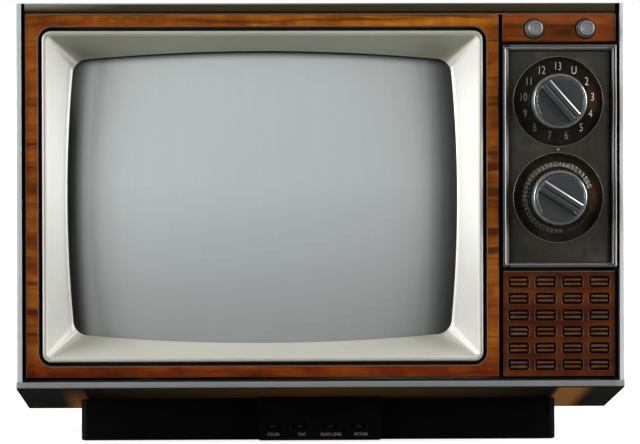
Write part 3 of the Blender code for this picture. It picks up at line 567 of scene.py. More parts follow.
# ---------------------------------------------------------------- metals
def metal(name, colour, rough, brush, streaks, bump, tarnish, metallic=1.0):
    """Drawn or polished metal: brushed streaks, faint tarnish and fine scratches."""
    m = Material(name, colour, rough, metallic)
    streak = m.noise(brush, detail=5.0, rough=0.7)
    haze = m.noise(26, (3, 1, 2), detail=4.0, rough=0.6)
    scratch = m.noise((900, 60, 240), (1, 5, 2), detail=2.0, rough=0.5)
    gloss = (streak - 0.5) * (streaks * 2) + rough
    gloss = gloss + haze.remap(0.5, 0.8, to=(0.0, 0.12))
    m.set("Roughness", gloss + scratch.remap(0.66, 0.74, to=(0.0, 0.10)))
    dark = tuple(c * 0.72 for c in colour)
    m.colour = m.mix(haze.remap(0.45, 0.85, to=(0.0, 0.5 + tarnish)), colour, dark)
    m.bump(streak, strength=bump, distance=0.0002)


# Colour, roughness, brushing scale, streak amount, bump strength, tarnish, metallic.
METALS = {
    "silver_trim": ((0.72, 0.785, 0.77), 0.42, (12, 900, 12), 0.06, 0.04, 0.05, 0.45),
    "dark_trim": (srgb(97, 87, 63), 0.36, (8, 900, 1400), 0.10, 0.05, 0.2, 0.75),
    "tan_edge": ((0.165, 0.098, 0.056), 0.5, (40, 900, 900), 0.08, 0.05, 0.1, 0.15),
    "tan_dim": ((0.045, 0.022, 0.013), 0.6, (40, 900, 900), 0.08, 0.05, 0.1, 0.15),
    "frame_highlight": ((0.66, 0.65, 0.63), 0.32, (60, 60, 60), 0.06, 0.02, 0.05, 0.30),
    "highlight_line": ((0.80, 0.81, 0.82), 0.30, (60, 60, 60), 0.05, 0.02, 0.05, 0.30),
    "chrome": ((0.80, 0.81, 0.83), 0.12, (200, 200, 200), 0.05, 0.02, 0.15),
    "knurled_ring": ((0.50, 0.51, 0.51), 0.20, (200, 200, 200), 0.08, 0.02, 0.15, 0.72),
    "rod_plating": ((0.42, 0.43, 0.45), 0.20, (900, 60, 60), 0.10, 0.02, 0.25),
    "satin_frame": ((0.24, 0.24, 0.235), 0.38, (60, 60, 60), 0.08, 0.02, 0.1, 0.6),
    "bright_bead": ((0.56, 0.56, 0.535), 0.32, (60, 60, 60), 0.06, 0.02, 0.05, 0.35),
    "dial_line": ((0.23, 0.23, 0.17), 0.34, (60, 60, 60), 0.08, 0.02, 0.1, 0.6),
    "smoked_chrome": ((0.20, 0.208, 0.214), 0.30, (420, 20, 420), 0.08, 0.03, 0.2, 0.80),
    "knob_cone": ((0.24, 0.28, 0.28), 0.18, (30, 900, 30), 0.08, 0.03, 0.2, 0.62),
    "knob_face": ((0.33, 0.345, 0.345), 0.30, (300, 300, 300), 0.10, 0.03, 0.2, 0.35),
    "knob_ring": ((0.62, 0.64, 0.64), 0.28, (300, 300, 300), 0.10, 0.03, 0.2, 0.35),
    "steel": ((0.50, 0.51, 0.52), 0.38, (60, 60, 300), 0.12, 0.06, 0.3),
    "copper": ((0.55, 0.24, 0.10), 0.34, (30, 1500, 30), 0.15, 0.5, 0.2),
    "iron": ((0.10, 0.10, 0.105), 0.55, (20, 20, 1200), 0.15, 0.3, 0.3, 0.5),
}
for name, row in METALS.items():
    metal(name, *row)


def age_silver():
    """Painted light on the rim: a painted highlight along the left leg's outer edge, and painted
    shade low down and on the right leg's outward faces.
    """
    m = MATERIALS["silver_trim"]
    x, _, z = m.xyz()
    low = z.over_mm(RIM_LOW + 5.0, RIM_LOW + 8.5, to=(1.0, 0.0), smooth=True)
    edge = m.mix(x.over_mm(-304, -300), (1.40, 1.36, 1.36), (1.0, 1.0, 1.0))
    left = m.mix(low, m.tint(m.colour, edge), (0.35, 0.365, 0.365))
    outward = m.normal()[0].remap(0.20, 0.75)
    right = m.mix(outward, (0.98, 1.0, 1.0), (0.70, 0.71, 0.71))
    right = m.mix(low, right, (0.46, 0.48, 0.48))
    m.colour = m.mix(x.over_mm(294, 298), left, right)


def age_dark_trim():
    """Painted light on the top band: a painted highlight along its top, a painted reflection over its
    left end and painted shade at its foot.
    """
    m = MATERIALS["dark_trim"]
    x, _, z = m.xyz()
    foot_shade = z.over_mm(TOP - 8.6, TOP - 7.4, to=(0.75, 0.0), smooth=True)
    colour = m.mix(foot_shade, m.colour, (0.040, 0.030, 0.020))
    end = x.over_mm(-300, -200, to=(1.0, 0.0)) * z.over_mm(TOP - 7.5, TOP - 3.0, to=(0.0, 0.8))
    colour = m.mix(end, colour, (0.72, 0.66, 0.60))
    crest = m.mix(x.over_mm(-100, 100), (0.90, 0.88, 0.85), (0.36, 0.33, 0.29))
    m.colour = m.mix(z.over_mm(TOP - 2.0, TOP - 1.1, to=(0.0, 0.8)), colour, crest)


def age_satin():
    """Painted shade down the tuner frame's left side."""
    m = MATERIALS["satin_frame"]
    x = m.xyz()[0]
    edge = x.over_mm(TRIM.x0 + 3.4, TRIM.x0 + 3.8, to=(0.62, 0.0))
    m.colour = m.mix(edge, m.colour, (0.01, 0.01, 0.01))
    slope = x.over_mm(TRIM.x0 + 2.9, TRIM.x0 + 3.1, to=(0.0, 0.85))
    slope = slope * x.over_mm(TRIM.x0 + 6.5, TRIM.x0 + 7.0, to=(1.0, 0.0))
    m.colour = m.mix(slope, m.colour, (0.035, 0.026, 0.020))


def age_bead():
    """Painted shade on the bead: darker across its top and bottom, darkest on the right."""
    m = MATERIALS["bright_bead"]
    x, _, z = m.xyz()
    top = z.over_mm(TRIM.z1 - 6.5, TRIM.z1 - 5.5)
    ends = top.at_least(z.over_mm(TRIM.z0 + 5.5, TRIM.z0 + 4.5))
    colour = m.mix(ends, m.colour, (0.34, 0.34, 0.32))
    m.colour = m.mix(x.over_mm(286, 288), colour, (0.17, 0.165, 0.155))


age_silver()
age_dark_trim()
age_satin()
age_bead()


# ---------------------------------------------------------------- plastics
def plastic(name, colour, rough, grain, bump, dust, dust_colour=(0.18, 0.17, 0.15), specular=0.5):
    """Moulded plastic: fine grain, patchy gloss, a little dust on faces that look up."""
    m = Material(name, colour, rough, Specular_IOR_Level=specular)
    fine = m.noise(grain, detail=2.0, rough=0.5)
    patch = m.noise(18, (4, 4, 4), detail=4.0, rough=0.6)
    m.set("Roughness", patch.remap(0.3, 0.7, to=(rough - 0.05, rough + 0.08)) + fine * 0.04)
    up = m.normal()[2].remap(0.4, 1.0)
    grit = up * patch.remap(0.35, 0.7, to=(0.2, 1.0)) * dust
    pale = tuple(min(1, c * 1.5 + 0.002) for c in colour)
    shade = m.mix(patch.remap(0.3, 0.75, to=(0.0, 0.35)), colour, pale)
    m.colour = m.mix(grit, shade, dust_colour)
    m.bump(fine, strength=bump, distance=0.00012)


# Colour, roughness, grain scale, bump strength, dust amount, dust colour, specular level.
PLASTICS = {
    "black_plastic": ((0.0075, 0.0075, 0.0072), 0.30, 1500, 0.08, 0.05, (0.06, 0.058, 0.05)),
    "pedestal_black": (
        (0.0011, 0.0011, 0.0010), 0.50, 1500, 0.06, 0.02, (0.02, 0.019, 0.017), 0.10),
    "black_matt": ((0.0035, 0.0033, 0.003), 0.75, 900, 0.3, 0.0),
    "brown_plastic": ((0.040, 0.027, 0.019), 0.52, 1000, 0.5, 0.20),
    "bakelite": ((0.085, 0.040, 0.020), 0.34, 500, 0.1, 0.12),
    "rubber": ((0.016, 0.016, 0.016), 0.72, 800, 0.3, 0.15),
    "twin_lead": ((0.155, 0.095, 0.050), 0.46, 700, 0.15, 0.15),
    "circuit_board": ((0.20, 0.115, 0.038), 0.5, 300, 0.1, 0.25),
    "cone_paper": ((0.022, 0.021, 0.020), 0.9, 1200, 0.6, 0.1),
    "bulb_glass": ((0.030, 0.031, 0.032), 0.35, 60, 0.2, 0.2),
    "numerals": (srgb(194, 188, 168), 0.55, 2500, 0.1, 0.0),
    "numerals_dim": (srgb(154, 149, 134), 0.6, 2500, 0.1, 0.0),
}
for name, row in PLASTICS.items():
    plastic(name, *row)


def wear_numerals(name, gain):
    """Painted light on the lettering: bright to the right of each knob, in painted shadow towards the
    lower left.
    """
    m = MATERIALS[name]
    x, _, z = m.xyz()
    dx = x - DIAL_X * MM
    upper = z > DIAL_MID_Z * MM
    dz = z - (UHF_Z * MM + upper * ((VHF_Z - UHF_Z) * MM))
    distance = (dx * dx + dz * dz).root()
    across, rise = dx / distance, dz / distance
    right = across.at_least(0.0)
    lit = 0.42 + right * right * 0.58
    shadowed = (across * -0.4 + rise * -0.9).at_least(0.0)
    strength = (lit - shadowed * 0.28).at_least(0.10) * gain
    # Marks low on the set keep an even strength.
    m.colour = m.tint(m.colour, strength.at_least(z.over_mm(160, 150, to=(0.0, 0.8))))


wear_numerals("numerals", gain=2.3)
wear_numerals("numerals_dim", gain=3.3)


# ---------------------------------------------------------------- mask, panel, dials and glass
def bowed(across, start, axis):
    """A start in mm plus the opening's bow, which fades out along the other axis."""
    other = 1 - axis
    span = (SCREEN_HALF[other] + SCREEN_BOW[other]) * MM
    ratio = (across - SCREEN_C[other] * MM) / span
    return start * MM + (1.0 - ratio * ratio) * (SCREEN_BOW[axis] * MM)


# Painted light on the mask's side walls: their brightness from foot to top.
LEFT_WALL = (
    (0.0, 0.74), (0.09, 0.76), (0.173, 0.82), (0.257, 0.89), (0.34, 0.94), (0.423, 1.02),
    (0.507, 1.09), (0.673, 1.07), (0.84, 0.99), (0.923, 0.92), (1.0, 0.88))
RIGHT_WALL = (
    (0.0, 0.70), (0.09, 0.72), (0.173, 0.76), (0.257, 0.85), (0.34, 0.95), (0.423, 1.07),
    (0.507, 1.14), (0.757, 1.13), (0.84, 1.07), (0.923, 0.97), (1.0, 0.93))
WALL_PEAK = 1.2  # ramps hold no more than 1, so both are divided by this and multiplied back


def mask_paint():
    m = Material("mask_paint", srgb(226, 226, 217), rough=0.40, metal=0.22)
    fine = m.noise(2600, detail=2.0, rough=0.6)
    patch = m.noise(9, (7, 1, 3), detail=3.0, rough=0.5)
    mottle = patch.ramp([(0.3, srgb(230, 230, 220)), (0.7, srgb(240, 240, 234))])
    colour = m.mix(fine.remap(0.35, 0.7, to=(0.0, 0.10)), mottle, srgb(178, 178, 170))
    x, y, z = m.xyz()
    up = m.normal()[2]
    wall = y.remap(RIM_Y + 0.0030, RIM_Y + 0.0040)
    # Painted shade: the upper wall, which faces down, is darker and greyer, and the lower wall a
    # little darker and yellower.
    roof = wall * up.remap(-0.20, -0.50, smooth=True)
    sill = wall * up.remap(0.20, 0.50, smooth=True)
    colour = m.tint(colour, (0.53, 0.53, 0.45), where=roof)
    colour = m.tint(colour, (0.825, 0.815, 0.765), where=sill)
    # Painted highlight along each mitre: wide on the upper two, sharp on the lower two.
    u = abs(x - MASK_C[0] * MM)
    v = abs(z - MASK_C[1] * MM)
    off = (u - (MASK_HALF[0] - 5.6) * MM) * -0.667 + (v - (MASK_HALF[1] - 5.6) * MM) * 0.746
    wide = wall * abs(off + 0.0014).over_mm(0.6, 4.0, to=(0.85, 0.0), smooth=True)
    sharp = wall * abs(off).over_mm(0.3, 1.6, to=(1.0, 0.0), smooth=True)
    ridge_highlight = wide * (z > MASK_C[1] * MM) + sharp * (z < MASK_C[1] * MM)
    colour = m.mix(ridge_highlight, colour, (0.96, 0.95, 0.88))
    # Painted light on the side walls: brightest at mid height, darker towards the foot and a little
    # towards the top.
    past_rim = abs(x - SCREEN_C[0] * MM) - bowed(z, SCREEN_HALF[0], axis=0)
    side = 1.0 - roof.at_least(sill)
    tall = z.over_mm(100, 400)
    left, right = (
        tall.ramp([(t, v / WALL_PEAK) for t, v in stops]) for stops in (LEFT_WALL, RIGHT_WALL))
    both = m.tint(m.mix(x > 0.0, left, right), (WALL_PEAK,) * 3)
    colour = m.tint(colour, both, where=wall * side)
    # Painted shade where the side walls meet the opening, more so on the left.
    nose_shade = wall * side * past_rim.over_mm(4.4, 2.0, smooth=True)
    colour = m.tint(colour, m.mix(x > 0.0, (0.80,) * 3, (0.95,) * 3), where=nose_shade)
    # Painted shade on the front lip: darker than the walls, darker still along its top and bottom,
    # and darker upwards along its sides.
    ends = z.over_mm(92, 88).at_least(z.over_mm(411.5, 412.5))
    shade = m.mix(z.over_mm(100, 400), (0.74, 0.745, 0.735), (0.67, 0.66, 0.64))
    lip = m.mix(ends, (0.575, 0.55, 0.54), shade)
    m.colour = m.tint(colour, lip, where=1.0 - y.remap(RIM_Y + 0.0020, RIM_Y + 0.0030))
    m.set("Roughness", fine.remap(0.2, 0.8, to=(0.34, 0.50)))
    m.bump(fine, strength=0.05, distance=0.00008)


def panel_paint():
    m = Material("panel_paint", srgb(52, 51, 45), rough=0.46, metal=0.25)
    brushed = m.noise((420, 10, 60), detail=4.0, rough=0.7)
    fine = m.noise(1500, detail=2.0, rough=0.5)
    patch = m.noise(22, (2, 2, 9), detail=4.0, rough=0.6)
    mottle = patch.ramp([
        (0.30, srgb(34, 33, 29)), (0.46, srgb(52, 50, 44)), (0.56, srgb(58, 56, 48)),
        (0.68, srgb(84, 80, 69))])
    m.colour = m.mix(brushed.remap(0.3, 0.7, to=(0.0, 0.5)), mottle, srgb(66, 65, 57))
    m.set("Roughness", fine.remap(0.2, 0.8, to=(0.36, 0.52)))
    m.bump(brushed, strength=0.12, distance=0.0001)


def dial_face():
    """Dark lacquer with a painted warm sheen to the right of each knob."""
    m = Material("dial_face", srgb(22, 18, 12), rough=0.26)
    x, _, z = m.xyz()
    sheen_patches = []
    for dial_z in (VHF_Z, UHF_Z):
        dx = x - (DIAL_X + 36) * MM
        dz = z - (dial_z * MM + 0.004)
        distance = (dx * dx * 4.0 + dz * dz).root()
        sheen_patches.append(distance.over_mm(0, 24, to=(0.75, 0.0), smooth=True))
    haze = m.noise(60, detail=4.0, rough=0.6)
    lacquer = haze.ramp([(0.3, srgb(20, 18, 12)), (0.75, srgb(37, 32, 21))])
    m.colour = m.mix(sheen_patches[0].at_least(sheen_patches[1]), lacquer, srgb(96, 66, 42))
    m.set("Roughness", haze.remap(0.3, 0.7, to=(0.22, 0.38)))
    m.set("Coat Weight", 0.4)
    m.bump(haze, strength=0.04, distance=0.0001)


# Brightness of the glass: (share of a reach, grey).
LEFT_SHADE = [  # over 120 mm in from the left edge
    (0.0, 0.05), (0.05, 0.17), (0.08, 0.28), (0.11, 0.50), (0.14, 0.78), (0.175, 0.99),
    (0.22, 0.98), (0.28, 0.91), (0.40, 0.83), (0.60, 0.76), (0.80, 0.72), (1.0, 0.704)]
RIGHT_SHADE = [  # over 120 mm in from the right edge
    (0.0, 0.06), (0.06, 0.15), (0.12, 0.31), (0.18, 0.62), (0.24, 0.98), (0.32, 1.0),
    (0.49, 0.94), (0.75, 0.90), (1.0, 0.89)]
HEIGHT_SHADE = [  # from foot to top
    (0.0, 0.52), (0.10, 0.62), (0.30, 0.78), (0.55, 0.92), (0.80, 0.90), (0.93, 0.88), (1.0, 0.86)]
LEFT_SHADOW = [  # over 15 mm in from the left edge, below the top of the screen
    (0.0, 0.2), (0.18, 0.22), (0.31, 0.35), (0.45, 0.40), (0.58, 0.62), (0.65, 0.75),
    (0.78, 0.82), (0.91, 0.92), (1.0, 1.0)]
TOP_SHADOW = [  # over 10 mm down from the top edge, under the mask
    (0.0, 0.003), (0.075, 0.01), (0.175, 0.11), (0.275, 0.28), (0.375, 0.44), (0.475, 0.57),
    (0.575, 0.72), (0.675, 0.84), (0.775, 0.91), (0.875, 0.97), (0.975, 1.0)]


def screen_glass():
    """Grey phosphor under thick glass, shaded towards its sides."""
    m = Material("screen_glass", (0.4, 0.42, 0.42), rough=0.24, Coat_Weight=0.75,
                 Coat_Roughness=0.035, Specular_IOR_Level=0.30)
    x, _, z = m.xyz()
    half = bowed(z, SCREEN_HALF[0], axis=0)
    from_left = x + half - SCREEN_C[0] * MM
    from_right = half - (x - SCREEN_C[0] * MM)
    height = z.over_mm(SCREEN_C[1] - 147, SCREEN_C[1] + 147)
    wave = m.node("ShaderNodeTexWave", wave_type="BANDS", bands_direction="X")
    wave.inputs["Scale"].default_value = 190.0
    m.feed(wave.inputs["Vector"], m.place)
    stripes = m.out(wave, "Fac")
    soft = m.noise((120, 1, 5), detail=3.0, rough=0.6)
    tone = (from_left / 0.12).ramp(LEFT_SHADE) * (from_right / 0.12).ramp(RIGHT_SHADE)
    tone = tone * height.ramp(HEIGHT_SHADE)
    shadow = (from_left / 0.015).ramp(LEFT_SHADOW)
    tone = tone * m.mix(z.over_mm(365, 315, smooth=True), (1.0, 1.0, 1.0), shadow)
    crest = bowed(x, SCREEN_C[1] + SCREEN_HALF[1], axis=1)
    tone = tone * ((crest - z) / 0.010).ramp(TOP_SHADOW)
    tone = tone * stripes.remap(0.0, 1.0, to=(0.975, 1.0))
    tone = tone * soft.remap(0.3, 0.7, to=(0.990, 1.01))
    m.colour = m.tint((0.975, 1.035, 1.040), tone)


mask_paint()
panel_paint()
dial_face()
screen_glass()

# ================================================================ cabinet
WALL = 9.5


def section(y, inset, low, r):
    """The cabinet's open-bottomed outline at a depth, with rounded upper corners."""
    w, top = HALF_W - inset, TOP - inset
    turns = [math.pi / 2 * k / 8 for k in range(1, 8)]
    pts = [(w, low), (w, top - r)]
    pts += [(w - r + r * math.cos(a), top - r + r * math.sin(a)) for a in turns]
    pts += [(w - r, top), (-w + r, top)]
    pts += [(-w + r - r * math.sin(a), top - r + r * math.cos(a)) for a in turns]
    return level(pts + [(-w, top - r), (-w, low)], y)


def is_lining(face):
    """Whether a face of the wrap is its front edge or lies inside the cabinet; such faces are black,
    as painted shade.
    """
    c, n = face.center, face.normal
    if n.y < -0.7 or (abs(c.x) < (HALF_W - WALL + 0.5) * MM and abs(n.x) > 0.5):
        return True
    below_roof = c.z < (TOP - WALL + 0.5) * MM
    faces_in = n.z < 0 or c.z < 0.08
    above_floor = c.z > (underside(c.y * 1000 + 210) + WALL - 1.5) * MM
    flat = abs(n.x) < 0.5 and abs(n.y) < 0.5 and abs(c.x) < 0.28
    return flat and below_roof == faces_in and above_floor


outer_depths = (SHELL.y0, 60, 120, CHIN_BACK - 2, CHIN_BACK + 2, 240, SHELL.y1)
outer = [section(y, 0, underside(y), 5.0) for y in outer_depths]
inner = [section(y, WALL, underside(y) + WALL, 0.3) for y in (SHELL.y1, CHIN_BACK, SHELL.y0)]
wrap = put("cabinet_wrap", loft(outer + inner, ring=True), "walnut_wrap", "black_matt",
           replaces="cabinet_shell", bevel=0.5, segments=2, angle=40)
# Painted shade: the wrap's front edge, seen down the groove behind the rim, and its inside faces take
# the black material.
for face in wrap.data.polygons:
    if is_lining(face):
        face.material_index = 1

# Rim profile as (inset, depth): a rounded outer edge, a flat face and a step on the inside.
RIM_PROFILE = [
    (0.0, 7.0), (0.0, 1.7), (0.25, 0.95), (0.75, 0.4), (1.5, 0.12), (2.4, 0.0), (4.6, 0.0),
    (5.05, 0.08), (5.2, 0.35), (5.25, 2.6), (5.9, 2.9), (6.3, 3.2), (6.3, 7.0)]
RIM_IN = 6.3
# The step and the inner faces after it are black, as painted shade in the groove between rim and
# wood.
RIM_STEP = 8  # profile index where the blackened step begins
RIM_ROUND = 3.4


def rim_loop(d, y):
    drop = RIM_ROUND - math.sqrt(RIM_ROUND**2 - (RIM_ROUND - d) ** 2) if d < RIM_ROUND else 0.0
    top = TOP - drop
    w = d if d < 3 else min(d + 1.2, RIM_IN)  # the face is wider on the left and at the bottom
    return [(-HALF_W + w, y, top), (-HALF_W + w, y, RIM_LOW + w),
            (HALF_W - d, y, RIM_LOW + w), (HALF_W - d, y, top)]


def rim_mesh():
    """Three sides of a frame, open at the top, with its two upper ends closed."""
    bm = bmesh.new()
    rows = [[bm.verts.new(p) for p in rim_loop(d, y)] for d, y in RIM_PROFILE]
    for k, (a, b) in enumerate(zip(rows, rows[1:] + rows[:1])):
        for i in range(3):
            face = bm.faces.new((a[i], a[i + 1], b[i + 1], b[i]))
            face.material_index = 1 if k >= RIM_STEP else 0
    for i in (0, 3):
        bm.faces.new([r[i] for r in rows])
    return bm


put("rim", rim_mesh(), "silver_trim", "black_matt", replaces="front_rim", smooth=50, bevel=0.25,
    segments=2, angle=60)

BAND = extent("top_trim")
# Band profile as (depth, drop from its top).
BAND_PROFILE = [
    (7.0, 0), (2.2, 0), (1.5, 0.25), (1.15, 0.8), (1.3, 1.4), (0.7, 1.9), (0.45, 4.4),
    (0.5, 7.8), (0.9, 8.6), (1.3, 9.2), (7.0, 9.3)]
band = along_x([(y, BAND.z1 - drop) for y, drop in BAND_PROFILE],
               (BAND.x0, -150, 0, 150, BAND.x1))
put("top_band", band, "dark_trim", replaces="top_trim", smooth=40)
# Thin tan line between the band and the wood, as (depth, height).
TOP_LINE = [(6.0, 433.75), (2.75, 433.75), (2.5, 433.5), (2.5, 432.5), (2.75, 432.2), (6.0, 432.2)]
put("top_line", along_x(TOP_LINE, (BAND.x0 + 0.5, 0, BAND.x1 - 0.5)), "tan_edge", smooth=50)


# ================================================================ wood-grain panels
HOLE_HALF, HOLE_R = (LIP_HALF[0] + 3.8, LIP_HALF[1] + 4.0), 13.0
WELL_R = 10.6


def edge_profile(r, n=4):
    """Quarter round from the side onto the face, as (inset, depth below the face)."""
    turns = [math.pi / 2 * k / n for k in range(n + 1)]
    return [(r - r * math.cos(a), r - r * math.sin(a)) for a in turns]


def hole(d=0.0):
    """The wood's picture opening, widened all round."""
    return rounded(*LIP_C, HOLE_HALF[0] + d, HOLE_HALF[1] + d, HOLE_R + d, 8)


loops = [level(rect(BEZEL, r=0.02, corner=8), PANEL_BACK)]
for d, e in edge_profile(0.8):
    loops.append(level(rect(BEZEL, (d,) * 4, 0.02 + d * 0.3, corner=8), FACE_Y + e))
loops += [level(hole(d), FACE_Y + e) for d, e in edge_profile(1.2, 5)[::-1]]
loops.append(level(hole(), PANEL_BACK))
put("bezel", loft(loops, ring=True), "walnut_front", replaces="front_bezel", smooth=45)

loops = [level(rect(FASCIA, r=0.02, corner=4), PANEL_BACK)]
for d, e in edge_profile(0.8):
    loops.append(level(rect(FASCIA, (d,) * 4, 0.05, corner=4), FACE_Y + e))
fascia = put("fascia", loft(loops), "walnut_front", replaces="control_fascia", smooth=45)
# Painted shade: the well round each small knob is lined in black. Outline as (radius, depth).
WELL_PROFILE = [
    (10.4, FACE_Y + 0.3), (10.4, 12.0), (3.2, 12.0), (3.2, 12.6), (10.55, 12.6),
    (10.55, FACE_Y + 0.3)]
for name, knob in (("volume", VOLUME), ("tone", TONE)):
    at = (knob.cx, 0, knob.cz)
    carve(fascia, cylinder(WELL_R, -6, 30, at, steps=64))
    put(f"{name}_well", turned(WELL_PROFILE, at, steps=64), "black_matt")

# Thin pale edging beside the wood panels.
for name, xs, panel in (
    ("edging_left", (BEZEL.x0 + 0.2, BEZEL.x0 + 1.1), BEZEL),
    ("edging_mid", (FASCIA.x0 - 0.05, FASCIA.x0 + 0.5), FASCIA),
    ("edging_right", (FASCIA.x1 + 0.1, FASCIA.x1 + 1.4), FASCIA),
):
    strip = block(xs, (FACE_Y - 0.1, FACE_Y + 2.2), (panel.z0 + 0.4, panel.z1 - 0.4))
    put(name, strip, "tan_edge", bevel=0.15, segments=2)

# The opening's rounded edge, in pale tan, as (widening, depth).
OPENING_EDGE = ((0.05, 3.9), (0.15, 3.2), (0.45, 2.85), (0.85, 2.8), (1.1, 2.95), (1.1, 3.9))
put("opening_edge", loft([level(hole(d), y) for d, y in OPENING_EDGE], ring=True), "tan_edge",
    smooth=50)

# ================================================================ loudspeaker grille
columns = [198.0 + 27.03 * i for i in range(4)]
rows_z = [164.4 - 16.58 * i for i in range(6)]
WINDOW = (10.3, 5.35, 2.6)  # half width, half height, corner radius
GRILLE_BACK = 8.6
BAR_HALF = (8.85, 1.42)
BAR_OFFSET = 2.15


def midpoints(values):
    return [(a + b) / 2 for a, b in zip(values, values[1:])]


def window(cx, cz, grow=0.0):
    w, h, r = WINDOW
    return rounded(cx, cz, w + grow, h + grow, r + grow * 0.6, 4)


def grille_mesh():
    """A slab of cells, each with a window whose edge rises to a lip."""
    xs = [GRILLE.x0] + midpoints(columns) + [GRILLE.x1]
    zs = [GRILLE.z1] + midpoints(rows_z) + [GRILLE.z0]
    lip = ((1.9, 0.10), (1.3, 0.0), (0.7, 0.10), (0.25, 0.45), (0.05, 0.95), (0.0, 1.6))
    bm = bmesh.new()
    for i, cx in enumerate(columns):
        for j, cz in enumerate(rows_z):
            x0, x1, z0, z1 = xs[i], xs[i + 1], zs[j + 1], zs[j]
            cell = rounded((x0 + x1) / 2, (z0 + z1) / 2, (x1 - x0) / 2, (z1 - z0) / 2, 0.0, 4)
            loops = [level(cell, FACE_Y + 0.30)]
            loops += [level(window(cx, cz, grow), FACE_Y + e) for grow, e in lip]
            loops += [level(window(cx, cz), GRILLE_BACK), level(cell, GRILLE_BACK)]
            add_bands(bm, loops)
    bmesh.ops.remove_doubles(bm, verts=bm.verts, dist=0.003)
    bmesh.ops.dissolve_degenerate(bm, dist=0.002, edges=bm.edges)
    bmesh.ops.bridge_loops(bm, edges=[e for e in bm.edges if e.is_boundary])
    return bm


def grille_bar(cx, cz):
    w, h = BAR_HALF
    loops = []
    for inset, y in ((0.0, 8.4), (0.0, 5.0), (0.10, 4.35), (0.34, 3.85), (0.70, 3.55), (1.05, 3.45)):
        r = max(0.10, (h - inset) * 0.97)
        loops.append(level(rounded(cx, cz, w - inset * 0.9, h - inset, r, 5), y))
    return loft(loops)


put("grille", grille_mesh(), "walnut_grille", replaces="speaker_grille", smooth=40)
windows = [(cx, cz) for cx in columns for cz in rows_z]
bars = [(cx, cz + dz) for cx, cz in windows for dz in (-BAR_OFFSET, BAR_OFFSET)]
put("grille_bars", join(*[grille_bar(*bar) for bar in bars]), "walnut_bars", smooth=50)
# Painted highlights along the bars' upper edges and round the raised lip of each window.
bar_highlights = [
    along_x(oval(3.62, z + 0.78, 0.26, 0.26, 8), (x - 7.9, x, x + 7.9)) for x, z in bars]
put("grille_bar_highlights", join(*bar_highlights), "tan_edge", smooth=50)
lip_section = oval(0.90, FACE_Y + 0.05, 0.18, 0.18, 8)  # (growth of the window, depth)
lip_highlights = [loft([level(window(*w, grow), y) for grow, y in lip_section], ring=True) for w in windows]
put("grille_lip_highlights", join(*lip_highlights), "tan_dim", smooth=50)
top_line = block((GRILLE.x0 + 0.3, GRILLE.x1 - 0.3), (FACE_Y - 0.15, FACE_Y + 1.5),
                 (GRILLE.z1 - 0.95, GRILLE.z1 - 0.1))
put("grille_top_line", top_line, "tan_edge", bevel=0.15, segments=2)
backing = block((GRILLE.x0 + 1, GRILLE.x1 - 1), (8.9, 11.8), (GRILLE.z0 + 1, GRILLE.z1 - 1))
put("grille_backing", backing, "black_matt", bevel=0.3)


# ================================================================ picture mask and tube
def mask_loop(d):
    return rounded(*LIP_C, LIP_HALF[0] - d, LIP_HALF[1] - d, max(9.0 - d * 0.8, 3.0), 10, 16)


def screen_loop(d=0.0, corner=10, side=16):
    half = (SCREEN_HALF[0] + d, SCREEN_HALF[1] + d)
    return rounded(*SCREEN_C, *half, SCREEN_R + d, corner, side, bow=SCREEN_BOW)


def tube_loop(d):
    return screen_loop(d, corner=8, side=10)


def scaled(loop, s):
    cx, cz = SCREEN_C
    return [(cx + (x - cx) * s, cz + (z - cz) * s) for x, z in loop]


# The lip as (inset, depth), then flat walls down to the dome, and the mask's hidden back.
LIP = ((0, PANEL_BACK), (0, 3.0), (0.25, 2.1), (0.8, 1.4), (1.6, 1.05), (2.5, 1.0), (3.1, 1.2),
       (3.5, 1.7))
loops = [level(mask_loop(d), y) for d, y in LIP]
wall_front = level(mask_loop(3.9), 2.4)
wall_back = on_dome(screen_loop(0.9), -3.7)
for k in range(11):
    t = k / 10
    pairs = zip(wall_front, wall_back)
    loops.append([tuple(p[i] + (q[i] - p[i]) * t for i in range(3)) for p, q in pairs])
loops += [on_dome(screen_loop(d), e) for d, e in ((0.3, -3.2), (0.0, -2.5), (0.0, -0.8), (0.9, -0.8))]
loops += [level(mask_loop(d), y) for d, y in ((4.9, 6.6), (2.4, 6.2), (2.4, PANEL_BACK))]
put("mask", loft(loops, ring=True), "mask_paint", replaces="picture_mask", smooth=60)

TUBE_BACK = 78.0
FACE_RINGS = (0.02, 0.08, 0.16, 0.25, 0.35, 0.46, 0.57, 0.68, 0.78, 0.87, 0.94, 1.0)
loops = [level(scaled(tube_loop(10.0), s), dome) for s in FACE_RINGS]
loops += [on_dome(tube_loop(12.0), 2.5), on_dome(tube_loop(13.0), 6.0)]
loops += [level(tube_loop(d), TUBE_BACK) for d in (13.0, 4.0)]
put("tube_face", loft(loops), "screen_glass", replaces="crt_faceplate", smooth=40)
# Dark band between the mask's edge and the glass.
EDGE_BAND = ((0.5, -0.15), (0.5, -0.7), (2.2, -0.7), (2.2, -0.15))
put("tube_edge_band", loft([on_dome(tube_loop(d), e) for d, e in EDGE_BAND], ring=True), "black_matt")

# ================================================================ tuner panel
TRIM_FRONT = TRIM._replace(x1=TRIM.x1 + 1.6, z1=TRIM.z1 - 1.7)
FRAME_INSET = (5.9, 4.5, 4.0, 5.5)  # full width of the frame left, right, bottom and top
# Frame profile as (share of the width, depth).
FRAME_PROFILE = [
    (0.0, 13.0), (0.0, 1.8), (0.05, 1.2), (0.12, 0.95), (0.24, 0.95), (0.28, 1.3), (0.30, 1.9),
    (0.66, 1.9), (0.72, 2.1), (0.90, 3.2), (1.0, 4.2), (1.0, 13.0)]
loops = [
    level(rect(TRIM_FRONT, tuple(i * t for i in FRAME_INSET), 0.7, corner=4), y)
    for t, y in FRAME_PROFILE]
put("tuner_frame", loft(loops, ring=True), "satin_frame", replaces="tuner_trim", smooth=30)
